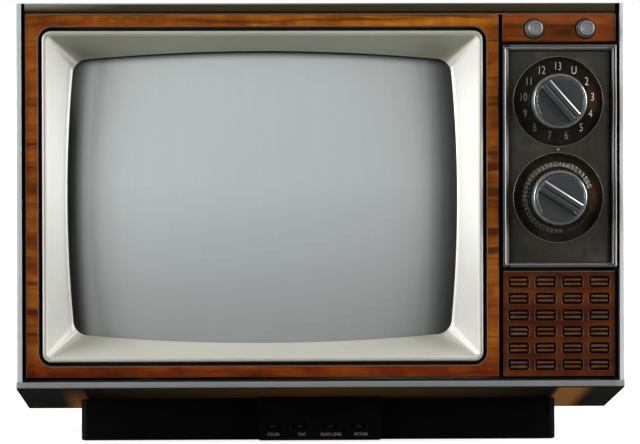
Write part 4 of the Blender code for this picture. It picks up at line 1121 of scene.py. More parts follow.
# Polished bead set in the frame, off centre on the right, as (offset, depth).
BEAD_INSET = (2.35, 3.4, 2.6, 3.3)
BEAD_PROFILE = [
    (-0.62, 2.4), (-0.60, 1.1), (-0.42, 0.68), (-0.1, 0.48), (0.2, 0.52), (0.48, 0.85),
    (0.60, 1.4), (0.60, 2.9)]
loops = [
    level(rect(TRIM_FRONT, tuple(i + w for i in BEAD_INSET), 0.7, corner=4), y)
    for w, y in BEAD_PROFILE]
put("tuner_frame_bead", loft(loops, ring=True), "bright_bead", smooth=50)
# Painted highlight: a bright strip along the frame's outer right edge.
edge = block((TRIM_FRONT.x1 - 1.25, TRIM_FRONT.x1 - 0.1), (0.50, 3.0),
             (TRIM_FRONT.z0 + 0.8, TRIM_FRONT.z1 - 0.8))
put("tuner_frame_highlight", edge, "frame_highlight", bevel=0.3)

# The plate stops short of the frame along the top and the right, which leaves a gap over the black
# backing, a painted shadow of the frame.
GAP = (0.0, PANEL.x1 - 289.6, 0.0, PANEL.z1 - 395.3)
plate_edge = rect(PANEL, GAP, r=0.6, corner=4)
plate_face = rect(PANEL, tuple(g + 0.3 for g in GAP), 0.5, corner=4)
loops = [level(plate_edge, 7.0), level(plate_edge, 4.2), level(plate_face, 4.0)]
plate = put("tuner_plate", loft(loops), "panel_paint", replaces="tuner_panel")
for z in (VHF_Z, UHF_Z):
    carve(plate, cylinder(45.2, -5, 20, (DIAL_X, 0, z), steps=128))
# The black backing shows through the gap as painted shadow.
backing = block((TRIM_FRONT.x0 + 4.9, TRIM_FRONT.x1 - 5.8), (10.6, 12.6),
                (TRIM_FRONT.z0 + 4.2, TRIM_FRONT.z1 - 4.5))
plate_back = put("tuner_plate_back", backing, "black_matt", bevel=0.2)
carve(plate_back, join(*[cylinder(6.0, 5, 20, (DIAL_X, 0, z), steps=48) for z in (VHF_Z, UHF_Z)]))
for name, z in (("vhf", VHF_Z), ("uhf", UHF_Z)):
    ring = turned(oval(45.0, 3.92, 0.30, 0.30, 10), (DIAL_X, 0, z), steps=128)
    put(f"{name}_dial_rim", ring, "dial_line")
DOT_PROFILE = [(0.2, 3.72), (0.8, 3.76), (1.1, 3.86), (1.25, 4.05)]
dot = turned(DOT_PROFILE, (DIAL_X, 0, DIAL_MID_Z + 0.3), steps=32, capped=True)
put("index_dot", dot, "numerals")


def dial(name, z, bore, groove, body):
    """A dial plate with two shallow ring grooves."""
    # (radius, depth behind the dial's front)
    profile = [
        (bore, 0), (29.2, 0), (29.5, 0.3), (29.9, 0.3), (30.2, 0), (groove, 0),
        (groove + 0.2, 0.25), (groove + 0.5, 0.25), (groove + 0.7, 0), (46.6, 0), (47.2, 0.5),
        (47.2, 1.7), (bore, 1.7)]
    bm = turned([(r, DIAL_Y + d) for r, d in profile], (DIAL_X, 0, z), steps=128)
    put(f"{name}_dial_plate", bm, "dial_face", body=body, replaces=f"{name}_dial", smooth=25)


dial("vhf", VHF_Z, bore=5.4, groove=42.4, body="cabinet")
dial("uhf", UHF_Z, bore=3.3, groove=40.6, body="uhf_tuning")


def lettering(name, items, material, body, y, depth, thin=0.0):
    """One mesh of raised characters that face the front.

    Items are (text, size, x, z, turn in degrees, width factor).
    """
    parts = []
    for text, size, x, z, turn, squeeze in items:
        font = bpy.data.curves.new("character", "FONT")
        font.body = text
        font.size = size
        font.extrude = depth
        font.offset = -thin * size
        font.align_x = "CENTER"
        font.align_y = "CENTER"
        font.resolution_u = 3
        writing = bpy.data.objects.new("character", font)
        bpy.context.scene.collection.objects.link(writing)
        bpy.context.view_layer.update()
        graph = bpy.context.evaluated_depsgraph_get()
        mesh = bpy.data.meshes.new_from_object(writing.evaluated_get(graph))
        bpy.data.objects.remove(writing, do_unlink=True)
        bm = bmesh.new()
        bm.from_mesh(mesh)
        bpy.data.meshes.remove(mesh)
        bmesh.ops.scale(bm, vec=(squeeze, 1, 1), verts=bm.verts)
        for degrees, axis in ((turn, "Z"), (90, "X")):
            spin = Matrix.Rotation(math.radians(degrees), 3, axis)
            bmesh.ops.rotate(bm, cent=(0, 0, 0), matrix=spin, verts=bm.verts)
        bmesh.ops.translate(bm, vec=(x, y, z), verts=bm.verts)
        parts.append(bm)
    put(name, join(*parts), material, body=body, smooth=20)


VHF_MARKS = ["13", "U", "2", "3", "4", "5", "6", "7", "8", "9", "10", "11", "12"]
VHF_RING, UHF_RING, TICK_RING = 35.1, 33.2, 29.2  # radii of the numerals and the ticks
items = []
for k, text in enumerate(VHF_MARKS):
    a = math.radians(90 - 360 / 13 * k)
    x, z = DIAL_X + VHF_RING * math.cos(a), VHF_Z + VHF_RING * math.sin(a)
    items.append((text, 11.6, x, z, 0, 0.72))
lettering("vhf_numerals", items, "numerals", "cabinet", DIAL_Y - 0.1, depth=0.12, thin=0.016)
items = []
for n in range(14, 84, 2):
    # 14 lies at the foot of the ring and the run goes clockwise, over the top, to 82 at the right.
    degrees = -85.0 - 255.0 * (n - 14) / 68.0
    a = math.radians(degrees)
    for text, size, ring, squeeze in ((str(n), 6.8, UHF_RING, 0.52), ("I", 1.8, TICK_RING, 0.5)):
        x, z = DIAL_X + ring * math.cos(a), UHF_Z + ring * math.sin(a)
        items.append((text, size, x, z, degrees + 270, squeeze))
lettering("uhf_numerals", items, "numerals_dim", "uhf_tuning", DIAL_Y - 0.1, depth=0.1, thin=0.004)

# Thin arc that closes the blank part of the ring.
ARC_SECTION = ((34.5, -0.15), (34.8, -0.15), (34.8, 0.05), (34.5, 0.05))
arc = []
for k in range(40):
    a = math.radians(-16 - 56 * k / 39)
    c, s = math.cos(a), math.sin(a)
    arc.append([(DIAL_X + r * c, DIAL_Y + d, UHF_Z + r * s) for r, d in ARC_SECTION])
put("uhf_arc", loft(arc), "dial_line", body="uhf_tuning")

# ================================================================ knobs
# (radius, depth) profiles.
SKIRT_PROFILE = [
    (24.75, -1.2), (24.75, -16.9), (25.0, -17.0), (25.9, -17.0), (26.2, -16.8), (26.35, -16.3),
    (26.65, -16.5), (27.1, -16.3), (27.4, -15.7), (27.5, -14.8), (27.5, 1.6), (27.0, 2.0)]
SKIRT_TEETH = (26.9, 27.6, 0.55)
VHF_BORE = [(5.0, 2.0), (5.0, 16.5), (3.5, 16.5), (3.5, -1.2)]
UHF_BORE = [(5.0, 2.0), (3.2, 2.0), (3.2, -1.2)]
CUP_PROFILE = [
    (3.0, 27.8), (3.0, -3.0), (24.3, -3.0), (24.3, -20.3), (24.15, -21.0), (23.8, -21.5),
    (23.3, -21.7), (22.8, -21.6), (22.5, -21.2)]
CUP_FACE = [(22.45, -20.9), (22.45, -21.35), (18.0, -21.42), (9.0, -21.46), (0.4, -21.47)]
# Parts of the grip bar: name, half length, material, smoothing, section as (across, depth).
# They are the bar, a painted highlight along its upper-right edge, a black strip of painted shadow at
# its lower-left seat and painted shade in its middle hollow.
BAR_PARTS = (
    ("bar", 22.9, "smoked_chrome", 22, [
        (-6.2, -21.2), (-5.0, -25.9), (-4.4, -26.8), (-3.6, -27.0), (-1.5, -27.0), (-0.6, -26.3),
        (0.6, -26.3), (1.5, -27.0), (3.6, -27.0), (4.4, -26.8), (5.0, -25.9), (6.2, -21.2)]),
    ("bar_highlight", 22.5, "highlight_line", 50, [
        (5.05, -26.05), (4.65, -26.95), (5.35, -26.75), (5.75, -25.9), (6.25, -23.4),
        (5.9, -23.2)]),
    ("bar_seat_shadow", 21.6, "black_matt", 20, [
        (-7.3, -21.3), (-7.2, -21.75), (-6.3, -21.8), (-6.1, -21.3)]),
    ("bar_hollow_shade", 21.0, "black_matt", 20, [
        (-0.75, -25.5), (-0.6, -26.45), (0.6, -26.45), (0.75, -25.5)]),
)


def bar_mesh(slope, z, half, profile):
    """A section drawn along a sloping line through a dial's centre, with its ends cut lower."""
    c, s = math.cos(math.radians(slope)), math.sin(math.radians(slope))
    loops = []
    for u, is_end in ((-half, True), (-half + 0.8, False), (half - 0.8, False), (half, True)):
        loops.append([
            (DIAL_X + c * u + -s * v, max(y, -25.6) if is_end else y, z + s * u + c * v)
            for v, y in profile])
    return loft(loops)


# Name, height, slope of the bar, bore, then the skirt's body and the node it replaces, and the
# body of the rest.
for name, z, slope, bore, skirt_body, ring_node, body in (
    ("vhf", VHF_Z, -48.6, VHF_BORE, "vhf_fine", "vhf_fine_ring", "vhf_channel"),
    ("uhf", UHF_Z, -32.5, UHF_BORE, "uhf_tuning", None, "uhf_tuning"),
):
    at = (DIAL_X, 0, z)
    put(f"{name}_skirt", turned(SKIRT_PROFILE + bore, at, steps=240, teeth=SKIRT_TEETH),
        "knurled_ring", body=skirt_body, replaces=ring_node, smooth=25)
    put(f"{name}_cap", turned(CUP_PROFILE, at, steps=160, capped=True), "chrome", body=body,
        replaces=f"{name}_knob", smooth=28)
    put(f"{name}_cap_face", turned(CUP_FACE, at, steps=128, capped=True), "smoked_chrome",
        body=body, smooth=25)
    for part, half, material, smooth, profile in BAR_PARTS:
        put(f"{name}_{part}", bar_mesh(slope, z, half, profile), material, body=body,
            smooth=smooth)

CONE_PROFILE = [
    (9.3, 1.6), (9.3, -0.4), (8.9, -0.9), (9.1, -1.5), (9.0, -5.0), (8.6, -9.0), (7.9, -12.8),
    (7.2, -15.0), (6.7, -15.7), (6.1, -15.95), (5.6, -15.8), (5.1, -15.2), (3.6, -14.9),
    (0.3, -14.8)]
CONE_FACE = [
    (0.3, -14.9), (0.3, -15.12), (1.6, -15.02), (3.4, -15.06), (3.7, -15.22), (4.9, -15.38),
    (5.1, -15.24), (5.1, -14.9)]
for knob, body, bore in (
    (VOLUME, "volume", [(2.8, -8.4), (2.8, 1.6)]),
    (TONE, "tone", [(2.5, 34.0), (2.5, 1.6)]),
):
    at = (knob.cx, 0, knob.cz)
    put(f"{body}_cap", turned(bore + CONE_PROFILE, at, capped=True), "knob_cone", body=body,
        replaces=f"{body}_knob", smooth=28)
    # Bright ring turned on the edge of the face.
    put(f"{body}_cap_ring", turned(oval(6.30, -15.86, 0.34, 0.30, 10), at), "knob_ring", body=body)
    put(f"{body}_cap_face", turned(CONE_FACE, at), "knob_face", body=body, smooth=40)

# ================================================================ pedestal and its controls
CLEARANCE = 0.3  # below the cabinet's underside
half_w, front, back, low = BASE.x1, BASE.y0, BASE.y1, BASE.z0
loops = []
for z, e in ((low - 0.9, 1.0), (low - 0.5, 0.35), (low + 0.2, 0.0), (75.0, 0.0)):
    y0, y1 = front + e, back - e
    plan = rounded(-0.7, (y0 + y1) / 2, half_w - e + 0.7, (y1 - y0) / 2, 7.0 - e, 8)
    loops.append([(x, y, z) for x, y in plan])
base = put("pedestal", loft(loops), "pedestal_black", replaces="pedestal_base", smooth=40)
# Cut away the cabinet's room above, the hollow inside and a notch in the front.
above = [(-20, underside(0) - CLEARANCE), (0, underside(0) - CLEARANCE),
         (CHIN_BACK, FLOOR_Z - CLEARANCE), (400, FLOOR_Z - CLEARANCE), (400, 130), (-20, 130)]
carve(base, along_x(above, (-400, 400)))
hollow = [(front + 3, low + 3), (front + 3, 90), (back - 3, 90), (back - 3, low + 3)]
carve(base, along_x(hollow, (-half_w + 3, half_w - 3)))
carve(base, block((-59, 59), (front - 8, front + 7), (5.0, 24.0)))

half_w, front, back, low = POD.x1, POD.y0, POD.y1, POD.z0
outline = [(back, underside(back) - CLEARANCE), (front, underside(front) - CLEARANCE),
           (front, low - 1.0), (back, low - 1.0)]
pod = put("control_module", along_x(outline, (-half_w, half_w)), "pedestal_black",
          replaces="control_pod", bevel=0.5, angle=40)
carve(pod, block((-half_w + 2.5, half_w - 2.5), (front + 2.5, back + 20), (low + 2.5, 28.0)))
# Each wheel's body, its label and the label's shift to the right.
WHEELS = (("color", "COLOR", 0), ("tint", "TINT", 1.5), ("brightness", "BLACK LEVEL", 1.3),
          ("contrast", "PICTURE", 2.3))
wheels = [(body, label, shift, extent(f"{body}_wheel")) for body, label, shift in WHEELS]
for *_, w in wheels:
    carve(pod, block((w.cx - 7.9, w.cx + 7.9), (front - 16, front + 6), (w.z0 - 0.8, w.z1 + 0.8)))
for body, _, _, w in wheels:
    r = (w.x1 - w.x0) / 2
    profile = [(2.05, w.z0), (r - 0.7, w.z0), (r, w.z0 + 0.5), (r, w.z1 - 0.5), (r - 0.7, w.z1),
               (2.05, w.z1)]
    bm = turned(profile, (w.cx, w.cy, 0), "Z", 80, teeth=(r - 0.1, r + 0.1, 0.4))
    put(f"{body}_thumbwheel", bm, "pedestal_black", body=body, replaces=f"{body}_wheel", smooth=25)
labels = [(label, 4.3, w.cx + shift, 6.9, 0, 0.84) for _, label, shift, w in wheels]
lettering("control_labels", labels, "numerals_dim", "cabinet", front - 0.02, depth=0.06)

PAD_PROFILE = [
    (0.4, 0.02), (7.4, 0.02), (8.6, 0.15), (9.0, 0.45), (9.0, 1.2), (2.9, 1.2), (2.9, 8.0)]
for place in ("front_left", "front_right", "rear_left", "rear_right"):
    foot = extent(f"foot_{place}")
    bm = turned(PAD_PROFILE, (foot.cx, foot.cy, 0), "Z", 48, capped=True)
    put(f"pad_{place}", bm, "rubber", replaces=f"foot_{place}")

# ================================================================ back cover
COVER_BACK, HUMP_BACK = 392.0, COVER.y1
# Loops of the cover: half width, bottom, top, corner radius, depth.
COVER_OUTSIDE = [
    (302, 29.5, 441.5, 5, 300.5), (302, 29.5, 441.5, 5, 303.9), (301.2, 30.3, 440.7, 5, 304.8),
    (291.5, 36.5, 418.0, 12, 304.8), (290, 38, 416.5, 12, 306.4), (288.4, 38, 416.05, 12, 347.0),
    (287.0, 38.6, 415.2, 12, 350.6), (284.5, 40.0, 412.9, 13, 353.4),
    (241.0, 60.5, 374.6, 21, COVER_BACK - 2.2), (238.4, 61.8, 372.4, 22, COVER_BACK - 0.6),
    (235, 64, 369.6, 22, COVER_BACK)]
COVER_INSIDE = [
    (234.6, 64.5, 369.5, 20, COVER_BACK - 3), (284.5, 41, 413, 9, 348.5),
    (286.5, 41, 413, 9, 300.5)]
# Columns of slots as (x, length), and the screws as (x, z).
SLOTS = ((-190, 72), (75, 84), (172, 84))
COVER_SCREWS = ((-293, 60), (293, 60), (-293, 250), (293, 250), (-293, 428), (293, 428),
                (-80, 32.8), (80, 32.8))


def cover_shell():
    """The cover's skin and its inner face, joined at the flange, closed at the back."""
    bm = bmesh.new()
    rows = add_bands(bm, [
        level(rounded(0, (low + high) / 2, hw, (high - low) / 2, r, 8), y)
        for hw, low, high, r, y in COVER_OUTSIDE[::-1] + COVER_INSIDE[::-1]])
    bm.faces.new(rows[0])
    bm.faces.new(rows[-1])
    return bm


def square(half, r, y):
    return level(rounded(*SCREEN_C, half, half, r, 8), y)


def hump(y, inset):
    """The square hump behind the tube's neck, which tapers backwards."""
    return square(74 - inset - (y - 385) * 0.32, 14, y)


def slot(x, z, half, half_height, r, depth):
    ys = (depth - 12, depth + 8)
    return loft([level(rounded(x, z, half, half_height, r, 4), y) for y in ys])


cover = put("rear_cover", cover_shell(), "brown_plastic", replaces="back_cover", smooth=30)
loops = [hump(COVER_BACK - 2, 0), hump(HUMP_BACK - 5, 0), square(54.2, 13, HUMP_BACK - 1.6),
         square(51.5, 12, HUMP_BACK)]
carve(cover, loft(loops), "UNION")
carve(cover, loft([hump(360.0, 3), hump(HUMP_BACK - 5.5, 3)]))
slots = [
    slot(x, 160 + row * 12.0, length / 2, 2.1, 2.0, COVER_BACK)
    for x, length in SLOTS for row in range(15)]
slots += [
    slot(SCREEN_C[0], SCREEN_C[1] - 28 + 14 * k, 30, 1.9, 1.8, HUMP_BACK) for k in range(5)]
carve(cover, join(*slots))
# Holes for the mains cord and the vertical hold.
carve(cover, join(cylinder(3.6, 370, 410, (-215, 0, 92), steps=32),
                  cylinder(4.2, 370, 410, (190, 0, 118), steps=32)))

# Cross-headed screws round the cover's flange.
SCREW_PROFILE = [(0.3, 307.9), (1.8, 307.75), (3.0, 307.1), (3.4, 306.2), (3.4, 304.9)]
for k, (x, z) in enumerate(COVER_SCREWS):
    head = turned(SCREW_PROFILE, (x, 0, z), steps=32, capped=True)
    screw = put(f"cover_screw_{k + 1}", head, "steel")
    for dx, dz in ((2.4, 0.4), (0.4, 2.4)):
        # Joining copies the block before it cuts.
        cut = block((x - dx, x + dx), (306.9, 309), (z - dz, z + dz))
        carve(screw, join(cut))

hold = extent("vertical_hold_knob")
HOLD_PROFILE = [
    (3.0, 372.0), (3.0, COVER_BACK + 0.5), (7.5, COVER_BACK + 0.5), (7.5, 401.4), (7.2, 402.4),
    (6.6, 403.1), (5.8, 403.4), (0.3, 403.4)]
bm = turned(HOLD_PROFILE, (hold.cx, 0, hold.cz), steps=80, capped=True, teeth=(7.4, 7.6, 0.35))
put("hold_cap", bm, "black_plastic", body="vertical_hold", replaces="vertical_hold_knob",
    smooth=25)

TERMINALS = extent("antenna_terminals")
loops = [
    level(rect(TERMINALS, (e,) * 4, 2.0, corner=6), COVER_BACK + y)
    for e, y in ((0, 0.3), (0, 3.6), (0.5, 4.2), (1.4, 4.3))]
put("terminal_strip", loft(loops), "bakelite", replaces="antenna_terminals")
TERMINAL_PROFILE = [(0.3, 6.8), (2.6, 6.7), (3.6, 6.1), (3.8, 5.2), (3.8, 4.3)]
for k, x in enumerate((94, 110, 131, 147)):
    profile = [(r, COVER_BACK + d) for r, d in TERMINAL_PROFILE]
    head = turned(profile, (x, 0, 106), steps=36, capped=True)
    screw = put(f"terminal_screw_{k + 1}", head, "steel")
    carve(screw, block((x - 4, x + 4), (COVER_BACK + 5.9, COVER_BACK + 8), (105.5, 106.5)))


# ================================================================ cables
def smooth_path(path, samples=6):
    """Points on a smooth curve through the path's points."""
    P = [Vector(p) for p in path]
    pts = []
    for i in range(len(P) - 1):
        p0, p1, p2, p3 = P[max(i - 1, 0)], P[i], P[i + 1], P[min(i + 2, len(P) - 1)]
        for k in range(samples):
            t = k / samples
            pts.append(0.5 * (
                (2 * p1) + (p2 - p0) * t + (2 * p0 - 5 * p1 + 4 * p2 - p3) * t * t
                + (3 * p1 - p0 - 3 * p2 + p3) * t**3))
    pts.append(P[-1])
    return pts


def direction(pts, i):
    return (pts[min(i + 1, len(pts) - 1)] - pts[max(i - 1, 0)]).normalized()


def tube(path, r, sides=14):
    """Round section swept along a smooth curve."""
    pts = smooth_path(path)
    turns = [2 * math.pi * k / sides for k in range(sides)]
    loops, side = [], Vector((1, 0, 0))
    for i, p in enumerate(pts):
        along = direction(pts, i)
        side = (side - along * side.dot(along)).normalized()
        up = along.cross(side)
        loops.append([p + (side * math.cos(a) + up * math.sin(a)) * r for a in turns])
    return loft(loops)


# The mains cord leaves its hole, makes two oval coils and ends in the plug.
PLUG_X, PLUG_Y, PLUG_Z = -150.0, 419, 112.0
cord = [(-215, 386, 92), (-215, 398, 92), (-214.5, 402, 94), (-212, 404.5, 98)]
COIL_STEPS = 14
for k in range(2 * COIL_STEPS + 1):
    a = math.pi + 2 * math.pi * k / COIL_STEPS
    t = k / (2 * COIL_STEPS)
    cord.append((PLUG_X + (62 - 6 * t) * math.cos(a), 405.5 + 19.5 * t,
                 PLUG_Z - (24 - 5 * t) * math.sin(a)))
# From the coil to the plug: x and z from the plug's centre, with y between them.
CORD_END = ((-54, 425.3, 6), (-49, 424.8, 10), (-42, 423.3, 10), (-34, 421.0, 6),
            (-26, 419.3, 1), (-20, 419, 0), (-13.2, 419, 0))
cord += [(PLUG_X + x, y, PLUG_Z + z) for x, y, z in CORD_END]
put("power_lead", tube(cord, 2.9), "rubber", replaces="mains_cord")
loops = []
for u, e in ((-13, 3.0), (-12, 1.6), (-9, 0.5), (9, 0), (12, 0.3), (13, 1.4)):
    outline = rounded(0, 0, 7 - e, 9 - e, 3.0, 5)
    loops.append([(PLUG_X + u, PLUG_Y + y, PLUG_Z + z) for y, z in outline])
put("power_plug", loft(loops), "rubber", replaces="mains_plug")
for k, s in enumerate((-5, 5)):
    y = PLUG_Y + s * 0.9
    blade = block((PLUG_X + 12.0, PLUG_X + 30), (y - 0.8, y + 0.8), (PLUG_Z - 3, PLUG_Z + 3))
    put(f"plug_blade_{k + 1}", blade, "steel", bevel=0.3)


def ribbon(path, x0, x1):
    """Flat twin lead: two round edges joined by a thin web, swept along a (y, z) path."""
    w = (x1 - x0) / 2
    profile = []
    for side, start in ((1, -math.pi / 2), (-1, math.pi / 2)):
        for k in range(9):
            a = start + math.pi * k / 8
            profile.append((side * (w - 0.95) + 0.95 * math.cos(a), 0.85 + 0.85 * math.sin(a)))
        web = 1.25 if side > 0 else 0.45
        profile += [(side * (w - 1.9), web), (-side * (w - 1.9), web)]
    pts = [Vector(p) for p in path]
    loops = []
    for i, p in enumerate(pts):
        d = direction(pts, i)
        loops.append([((x0 + x1) / 2 + u, p.x - d.y * v, p.y + d.x * v) for u, v in profile])
    return loft(loops)


LEAD_X1 = extent("twin_lead").x1
LEAD_X0 = LEAD_X1 - 9.2
LEAD_PATH = [(337.5, 417.2), (347.0, 417.2), (350.5, 416.8), (353.5, 415.2), (356.5, 412.6),
             (374.0, 394.4)]
LEAD_PATH += [(COVER_BACK + y, z) for y, z in (
    (-0.6, 376.6), (1.2, 374.2), (2.1, 370.5), (2.2, 360.0), (2.2, 250), (2.2, 152),
    (3.4, 140.0), (4.7, 130.0), (4.8, 116.5))]
put("antenna_lead", ribbon(LEAD_PATH, LEAD_X0, LEAD_X1), "twin_lead", replaces="twin_lead")
# The lead's run across the cover's top, as (across, up).
RUN_SECTION = ((0, 0.0), (0.6, 0.0), (8.6, 0.0), (9.2, 0.1), (9.2, 1.4), (8.6, 1.5), (0.6, 1.5),
               (0, 1.4))
run = along_x([(338.0 + v * 0.965, 417.3 + u) for v, u in RUN_SECTION], (54.4, LEAD_X0 + 0.5))
put("antenna_lead_run", run, "twin_lead", smooth=40)

# ================================================================ antenna
MOUNT = extent("antenna_base")
EAR_X, EAR_Z = 26.0, 433.0
mount_y, half_y, low, high = MOUNT.cy, (MOUNT.y1 - MOUNT.y0) / 2, MOUNT.z0, MOUNT.z1
loops = []
for z, e in ((low, 0.4), (low + 0.5, 0.0), (high - 2.6, 0.0), (high - 1.2, 0.5), (high - 0.4, 1.4),
             (high, 2.8)):
    outline = rounded(0, 0, MOUNT.x1 - e, half_y - e, 7.0 - e * 0.6, 8)
    loops.append([(x, y + mount_y, z) for x, y in outline])
mount = put("antenna_mount", loft(loops), "black_plastic", replaces="antenna_base", smooth=35)
for s in (-1, 1):
    carve(mount, cylinder(7.5, low + 3.8, high + 10, (s * EAR_X, mount_y, 0), 64, "Z"))

TURRET_PROFILE = [(7.1, -11.9), (7.1, -4.9), (6.8, -4.5), (6.2, -4.4), (0.3, -4.4)]
PIN_PROFILE = [
    (0.2, -5.15), (1.5, -5.1), (2.0, -4.75), (2.0, -4.45), (1.25, -4.4), (1.25, 4.4),
    (2.0, 4.45), (2.0, 4.75), (1.5, 5.1), (0.2, 5.15)]
# Cheek and tongue outlines as (x, z) from the pivot.
half_turn = [math.pi * k / 12 for k in range(1, 12)]
CHEEK = [(4.4, -5.5), (4.4, 0.2)]
CHEEK += [(4.4 * math.cos(t), 0.2 + 4.3 * math.sin(t)) for t in half_turn]
CHEEK += [(-4.4, 0.2), (-4.4, -5.5)]
half_turn = [math.pi * k / 14 for k in range(1, 14)]
TONGUE = [(14.0, -2.9), (14.0, 2.9), (0.0, 2.9)]
TONGUE += [(-2.9 * math.sin(t), 2.9 * math.cos(t)) for t in half_turn]
TONGUE += [(0.0, -2.9)]
# Telescopic sections: outer diameter, inner diameter, start and end from the pivot.
ROD_SECTIONS = ((7.0, 6.2, 12.0, 250.0), (5.6, 4.8, 20.0, 252.0), (4.2, 3.4, 22.0, 254.0),
                (2.8, 0, 24.0, 256.0))


def rod_profile(k, ro, ri, a0, a1):
    """(radius, distance) of a section: a closed-ended first tube, open tubes, a tipped rod."""
    if k == 0:
        return [(ri, a0 + 6), (0.3, a0 + 6), (0.3, a0), (ro - 0.7, a0), (ro, a0 + 0.8),
                (ro, a1 - 5.0), (ro, a1 - 1.2), (ro - 0.3, a1 - 0.3), (ri + 0.25, a1),
                (ri, a1 - 0.3)]
    if k < 3:
        return [(ri, a0), (ro, a0), (ro, a1 - 1.0), (ro - 0.25, a1 - 0.2), (ri + 0.2, a1),
                (ri, a1 - 0.3)]
    return [(0.2, a0), (ro, a0), (ro, a1), (3.2, a1 + 0.4), (3.7, a1 + 1.4), (3.7, a1 + 5.4),
            (3.3, a1 + 6.7), (2.4, a1 + 7.3), (0.2, a1 + 7.4)]


def slab(outline, at, ys, mirror=1):
    """An (x, z) outline about a point, drawn out between two depths."""
    return loft([[(at[0] + mirror * u, at[1] + y, at[2] + w) for u, w in outline] for y in ys])


for side, s in (("left", -1), ("right", 1)):
    at = (s * EAR_X, mount_y, EAR_Z)
    swivel = f"{side}_ear_swivel"
    turret = put(f"{side}_turret", turned(TURRET_PROFILE, at, "Z", 64, capped=True),
                 "black_plastic", body=swivel, replaces=f"{side}_swivel")
    for y in (-4.4, 2.1):
        carve(turret, slab(CHEEK, at, (y, y + 2.3)), "UNION")
    put(f"{side}_pivot_pin", turned(PIN_PROFILE, at, "Y", 32, capped=True), "steel", body=swivel)
    for k, (outer_d, inner_d, start, end) in enumerate(ROD_SECTIONS):
        profile = rod_profile(k, outer_d / 2, inner_d / 2, start, end)
        rod = turned([(r, s * d) for r, d in profile], at, "X", 48, capped=k == 3)
        put(f"{side}_section_{k + 1}", rod, "rod_plating", body=f"{side}_ear_{k + 1}",
            replaces=f"{side}_rod_{k + 1}", smooth=28)
    tongue = put(f"{side}_tongue", slab(TONGUE, at, (-1.7, 1.7), mirror=s), "steel",
                 body=f"{side}_ear_1", bevel=0.25, segments=2)
    carve(tongue, cylinder(1.6, -6, 6, at, steps=40))

# ================================================================ CAD nodes that keep their shape
KEPT_NODES = {
    "front_carrier": "black_matt", "crt_funnel": "bulb_glass", "crt_band": "steel",
    "deflection_yoke": "copper", "crt_neck_board": "circuit_board", "pull_switch_rod": "steel",
    "speaker_basket": "iron", "speaker_cone": "cone_paper", "vhf_tuner": "steel",
    "uhf_tuner": "steel", "chassis_tray": "steel", "main_board": "circuit_board",
    "power_transformer": "iron", "flyback_transformer": "iron", "control_board": "circuit_board",
}
for node, material in KEPT_NODES.items():
    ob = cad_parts[node]
    ob.data.materials.clear()
    ob.data.materials.append(MATERIALS[material].data)
    ob.modifiers.new("weld", "WELD").merge_threshold = 0.00002


# ================================================================ stage, light and camera
def floor_paper():
    """Bright paper to the camera, but dark to the light it throws back up."""
    m = Material("floor_paper", (0.86, 0.86, 0.86), rough=0.7)
    m.colour = m.noise(40, detail=3.0, rough=0.5).ramp([(0.3, 0.84), (0.7, 0.88)])
    x, y, _ = m.xyz()
    glow = m.node("ShaderNodeEmission")
    glow.inputs["Color"].default_value = (1.0, 1.0, 1.0, 1)
    distance = (x * x + y * y).root()
    m.feed(glow.inputs["Strength"], distance.remap(0.45, 1.10, to=(0.76, 1.02), smooth=True))
    dim = m.node("ShaderNodeBsdfDiffuse")
    dim.inputs["Color"].default_value = (0.10, 0.10, 0.095, 1)
    bright = m.node("ShaderNodeAddShader")
    m.feed(bright.inputs[0], m.out(m.shader))
    m.feed(bright.inputs[1], m.out(glow))
    pick = m.node("ShaderNodeMixShader")
    m.feed(pick.inputs[0], m.out(m.node("ShaderNodeLightPath"), "Is Camera Ray"))
    m.feed(pick.inputs[1], m.out(dim))
    m.feed(pick.inputs[2], m.out(bright))
    m.feed(m.tree.nodes["Material Output"].inputs[0], m.out(pick))
    return m.data


floor = bpy.data.meshes.new("floor")
floor.from_pydata([(-9, -9, 0), (9, -9, 0), (9, 9, 0), (-9, 9, 0)], [], [(0, 1, 2, 3)])
floor_ob = bpy.data.objects.new("floor", floor)
bpy.context.scene.collection.objects.link(floor_ob)
floor.materials.append(floor_paper())


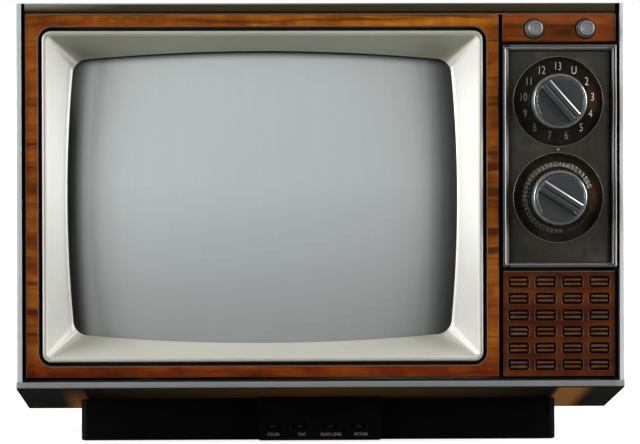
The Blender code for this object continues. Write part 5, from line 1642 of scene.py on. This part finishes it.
def studio():
    """A dim room with paler sides, which the camera itself sees as white."""
    world = bpy.data.worlds.new("studio")
    bpy.context.scene.world = world
    world.use_nodes = True
    nodes, link = world.node_tree.nodes, world.node_tree.links.new
    background = nodes["Background"]
    background.inputs["Strength"].default_value = 1.0
    axes = nodes.new("ShaderNodeSeparateXYZ")
    link(nodes.new("ShaderNodeTexCoord").outputs["Generated"], axes.inputs[0])
    sideways = nodes.new("ShaderNodeMath")
    sideways.operation = "ABSOLUTE"
    link(axes.outputs[0], sideways.inputs[0])
    room = nodes.new("ShaderNodeMapRange")
    room.interpolation_type = "SMOOTHSTEP"
    # From this range of sideways direction to this range of brightness.
    for i, value in enumerate((0.45, 0.95, 0.045, 0.22), start=1):
        room.inputs[i].default_value = value
    link(sideways.outputs[0], room.inputs[0])
    seen = nodes.new("ShaderNodeMix")
    seen.data_type = "RGBA"
    link(nodes.new("ShaderNodeLightPath").outputs["Is Camera Ray"], seen.inputs[0])
    link(room.outputs[0], seen.inputs[6])
    seen.inputs[7].default_value = (1.0, 1.0, 1.0, 1)
    link(seen.outputs[2], background.inputs["Color"])


def softbox(name, at, target, size, power):
    data = bpy.data.lights.new(name, "AREA")
    data.shape = "RECTANGLE"
    data.size, data.size_y = size
    data.energy = power
    ob = bpy.data.objects.new(name, data)
    bpy.context.scene.collection.objects.link(ob)
    ob.location = at
    ob.rotation_euler = (Vector(target) - Vector(at)).to_track_quat("-Z", "Y").to_euler()
    return ob


studio()
# Name, place, target, size, power.
softbox("left_box", (-2.45, -1.05, 0.66), (0, -0.1, 0.26), (1.2, 1.5), 84)
softbox("right_box", (2.45, -1.05, 0.78), (0, -0.1, 0.26), (1.2, 1.5), 72)
fill = softbox("front_fill", (-0.9, -3.6, 1.9), (0, -0.1, 0.25), (1.6, 0.8), 16)
fill.visible_glossy = False
softbox("rear_box", (0.6, 2.4, 1.7), (0, 0.1, 0.25), (2.0, 1.2), 26)

cam_data = bpy.data.cameras.new("camera")
cam = bpy.data.objects.new("camera", cam_data)
bpy.context.scene.collection.objects.link(cam)
cam.location = (-0.070, RIM_Y - 3.0, 0.260)
# Turned a little to the right, tipped down and rolled, as a hand-levelled camera is.
yaw, pitch, roll = (math.radians(a) for a in (1.271, 0.655, 0.150))
turn = Matrix.Rotation(-yaw, 3, "Z") @ Matrix.Rotation(math.pi / 2 - pitch, 3, "X")
cam.rotation_euler = (turn @ Matrix.Rotation(-roll, 3, "Z")).to_euler()
cam_data.lens = 169.09
cam_data.sensor_width = 36.0
cam_data.shift_x = 0.00405
cam_data.shift_y = -0.0006
bpy.context.scene.camera = cam
bpy.context.scene.view_settings.view_transform = "Standard"
